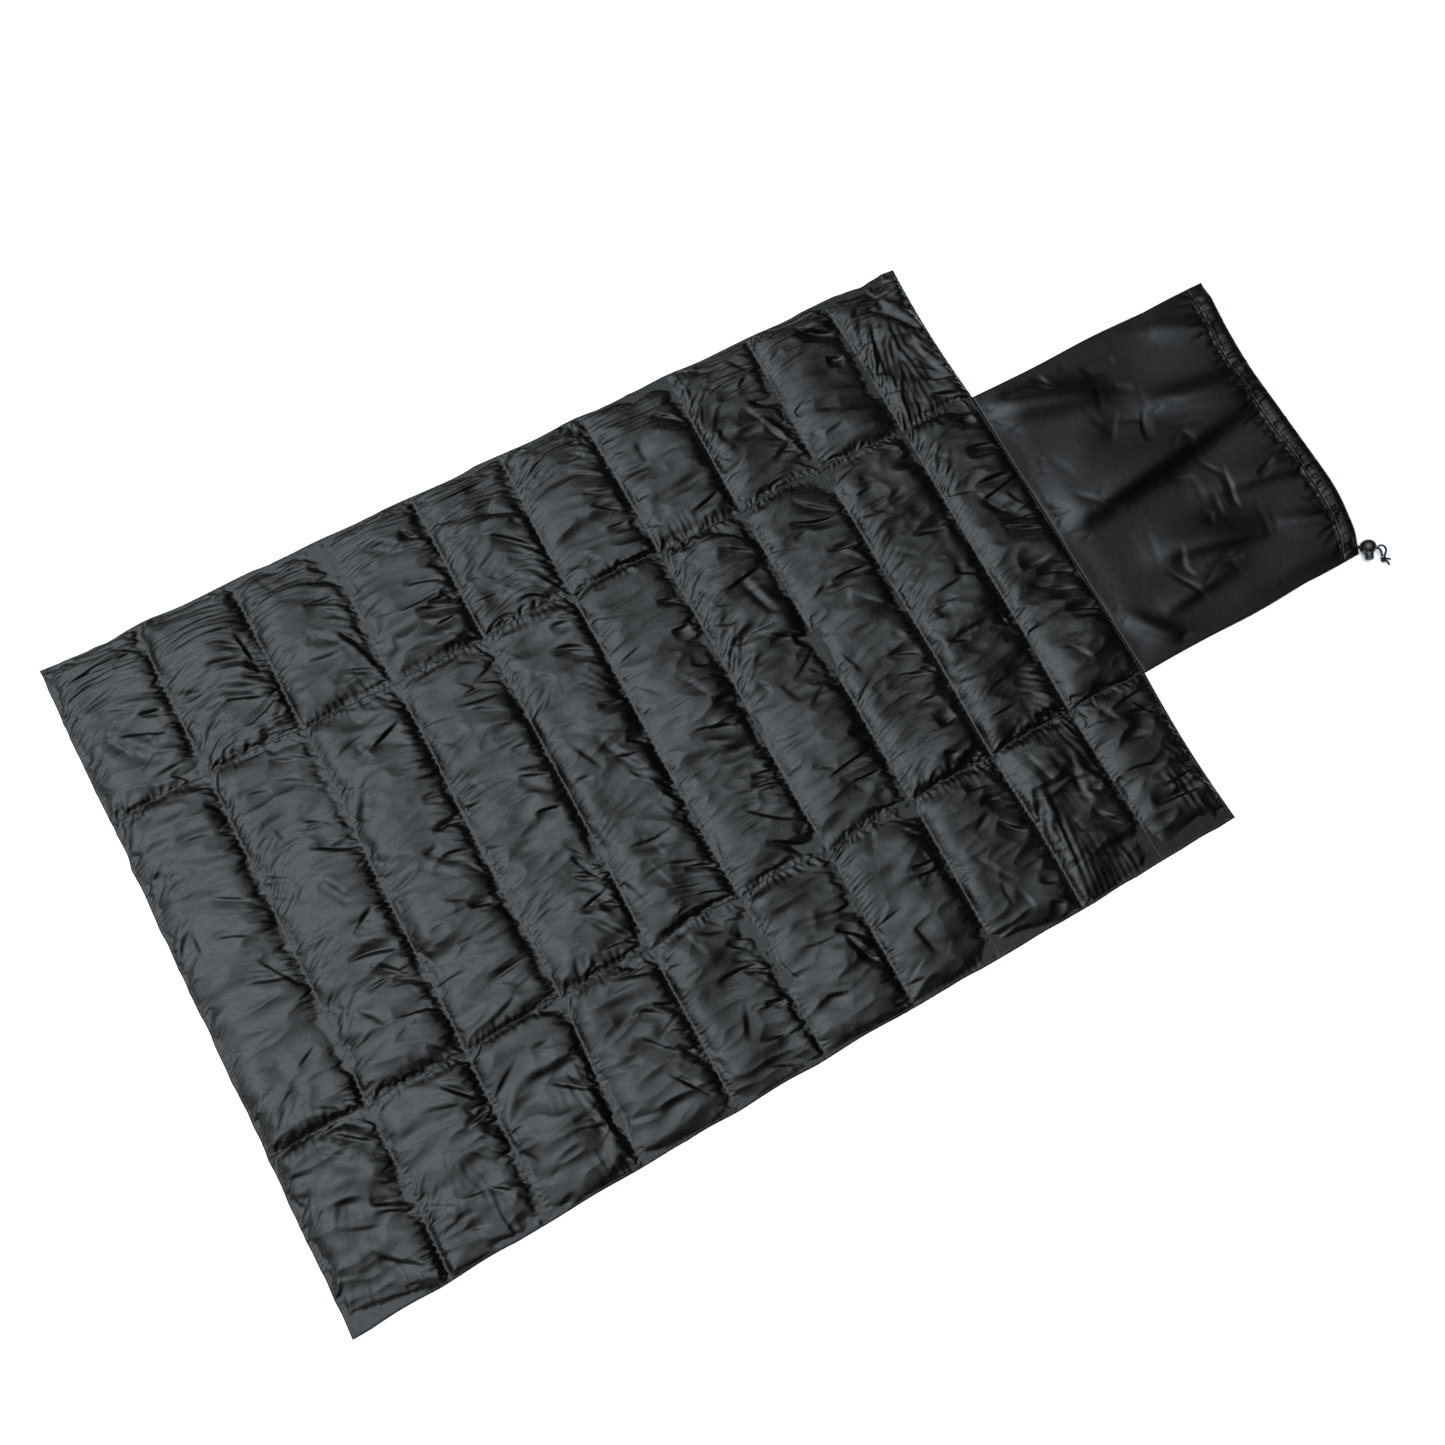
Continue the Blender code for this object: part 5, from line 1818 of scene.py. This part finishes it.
    def build(self, plastic: Material, steel: Material) -> list[Piece]:
        """Makes the housing, the plunger and the spring.

        Args:
            plastic: the finish of the housing and the plunger.
            steel: the spring's finish.

        Returns:
            The lock's pieces.
        """
        grip = self.cord.diameter / 2 + self.clearance
        mid = self.cord.slot_shift
        rim = math.sqrt(self.radius ** 2 - self.bore ** 2)
        top = math.atan2(rim, self.bore)
        arc = np.linspace(top - self.bevel, -math.pi / 2, 30)
        lip = np.linspace(0.0, 1.0, 5)[1:, None]
        inside = np.array([[0.0, self.bore_floor], [self.bore, self.bore_floor]])
        edge = np.array([self.bore, rim - 0.0006])
        shoulder = self.radius * np.array([math.cos(top - self.bevel), math.sin(top - self.bevel)])
        crest = np.array([0.5 * (self.bore + shoulder[0]), rim + 0.00015])
        lips = (1 - lip) ** 2 * edge + 2 * lip * (1 - lip) * crest + lip ** 2 * shoulder
        ball = np.stack([self.radius * np.cos(arc), self.radius * np.sin(arc)], axis=1)[1:]
        profile = np.concatenate([inside, edge[None], lips, ball])
        housing = self._turned("cord_lock_housing", profile, plastic, flip=False)
        self._slotted(housing, mid - grip - self.travel, mid + grip)
        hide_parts("lock_housing")
        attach(housing, Body.LOCK.value)

        foot = mid - grip - self.web
        crown = foot + self.plunger_length
        outer = self.bore - self.clearance
        turn = np.linspace(math.pi / 2, 0.0, 9)[:, None]
        cap = np.concatenate([(outer - self.cap_round) + self.cap_round * np.cos(turn),
                              (crown - self.cap_round) + self.cap_round * np.sin(turn)], axis=1)
        grooves = [[outer - depth, crown - below] for depth, below in self.grooves]
        sole = [[outer, foot + self.foot_round], [outer - self.foot_round, foot], [0.0, foot]]
        stem = np.concatenate([[[0.0, crown]], cap, grooves, sole])
        plunger = self._turned("cord_lock_plunger", stem, plastic, flip=True)
        self._slotted(plunger, mid - grip, mid + grip + self.travel)
        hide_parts("lock_plunger")
        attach(plunger, Body.PLUNGER.value)
        self._spring(foot, steel)
        log.info("cord lock: housing %d faces, plunger %d faces", len(housing.data.polygons),
                 len(plunger.data.polygons))
        return [housing, plunger]


# ---- the studio
@dataclass
class Studio:
    """The camera, the floor and the light."""

    place: Point = (-0.4125, -0.2725, 1.7083)
    tilt: float = 12.07  # degrees about X, then Y, then Z
    lean: float = -4.50
    heading: float = -29.10
    lens: float = 30.10
    sensor: float = 36.0
    floor_size: float = 80.0
    floor_height: float = -0.0006
    light_way: Point = (-0.42, 0.23, 1.0)
    light_colour: Point = (0.88, 0.95, 1.0)
    light_strength: float = 5.5
    fade: tuple[tuple[float, float], ...] = (  # degrees away from the light, and brightness, farthest first
        (90.0, 0.002), (76.0, 0.006), (65.0, 0.022), (56.0, 0.075),
        (46.0, 0.21), (34.0, 0.44), (21.0, 0.68), (7.0, 1.0))

    def set_camera(self) -> None:
        """Puts the camera above the quilt, a little towards its -Y edge."""
        data = bpy.data.cameras.new("view_from_above")
        data.lens, data.sensor_width, data.sensor_fit = self.lens, self.sensor, "HORIZONTAL"
        data.clip_start, data.clip_end = 0.02, 60.0
        camera = bpy.data.objects.new("view_from_above", data)
        camera.location = self.place
        camera.rotation_euler = tuple(math.radians(angle) for angle in (self.tilt, self.lean, self.heading))
        bpy.context.scene.collection.objects.link(camera)
        bpy.context.scene.camera = camera

    def light(self) -> None:
        """One broad soft light, high and towards the plain end, that fades out evenly all round.

        The sky's brightness depends on the cosine between a direction and the way to the light.
        """
        world = bpy.data.worlds.new("soft_overhead_light")
        world.use_nodes = True
        tree = world.node_tree
        place = tree.nodes.new("ShaderNodeTexCoord")
        facing = tree.nodes.new("ShaderNodeVectorMath")
        facing.operation = "DOT_PRODUCT"
        facing.inputs[1].default_value = tuple(unit(np.array(self.light_way)))
        ramp = tree.nodes.new("ShaderNodeValToRGB")
        steps = ramp.color_ramp.elements
        while len(steps) < len(self.fade):
            steps.new(0.5)
        for step, (angle, bright) in zip(steps, self.fade):
            step.position = max(0.0, math.cos(math.radians(angle)))
            step.color = (*(bright * share for share in self.light_colour), 1.0)
        background = tree.nodes["Background"]
        background.inputs["Strength"].default_value = self.light_strength
        tree.links.new(place.outputs["Generated"], facing.inputs[0])
        tree.links.new(facing.outputs["Value"], ramp.inputs["Fac"])
        tree.links.new(ramp.outputs["Color"], background.inputs["Color"])
        bpy.context.scene.world = world
        bpy.context.scene.view_settings.view_transform = "Standard"

    def floor(self) -> None:
        """A plain white floor just under the quilt."""
        half = self.floor_size / 2
        corners = np.array([[x * half, y * half, self.floor_height]
                            for x, y in ((-1, -1), (1, -1), (1, 1), (-1, 1))])
        parts = MeshParts()
        first = parts.add_points(corners, corners[:, :2])
        parts.faces.append(first + np.arange(4)[None])
        parts.build("studio_floor", PaleFloor().make())


def main() -> None:
    """Builds the studio, the cord and its lock, the quilt and the sack."""
    shell = WovenNylon("charcoal_nylon", (0.0005, 0.0010, 0.0008), (0.0022, 0.0021, 0.0026), 0.26, 0.10,
                       0.0005, 0.00009, specular=0.32).make()
    sack_cloth = WovenNylon("sack_black_nylon", (0.0006, 0.0008, 0.0011), (0.0014, 0.0017, 0.0024), 0.29,
                            0.08, 0.0004, 0.00006, weave_height=0.00003, specular=0.30).make()
    # The quilting thread's colours are lighter than black thread: painted glints along the seams, spread at
    # random by the thread's fuzz.
    thread = TwistedThread("black_thread", (0.020, 0.021, 0.022), (0.090, 0.094, 0.100)).make()
    sack_thread = TwistedThread("dull_black_thread", (0.002, 0.002, 0.002), (0.010, 0.010, 0.011)).make()
    braid = BraidedCord("black_braid", (0.0015, 0.0015, 0.0015), (0.007, 0.007, 0.0075)).make()
    plastic = MouldedPlastic("black_acetal", (0.0015, 0.0015, 0.002), (0.004, 0.004, 0.0045)).make()
    steel = SpringSteel("spring_wire").make()

    studio = Studio()
    studio.set_camera()
    studio.floor()
    studio.light()
    cord, sack = Drawcord(), StuffSack()
    lock_pieces = CordLock(cord).build(plastic, steel)
    cord.build(braid, sack, lock_pieces)
    Quilt().build(shell, thread)
    sack.build(sack_cloth, sack_thread)


if __name__ == "__main__":
    logging.basicConfig(level=logging.INFO, format="%(name)s: %(message)s")
    main()
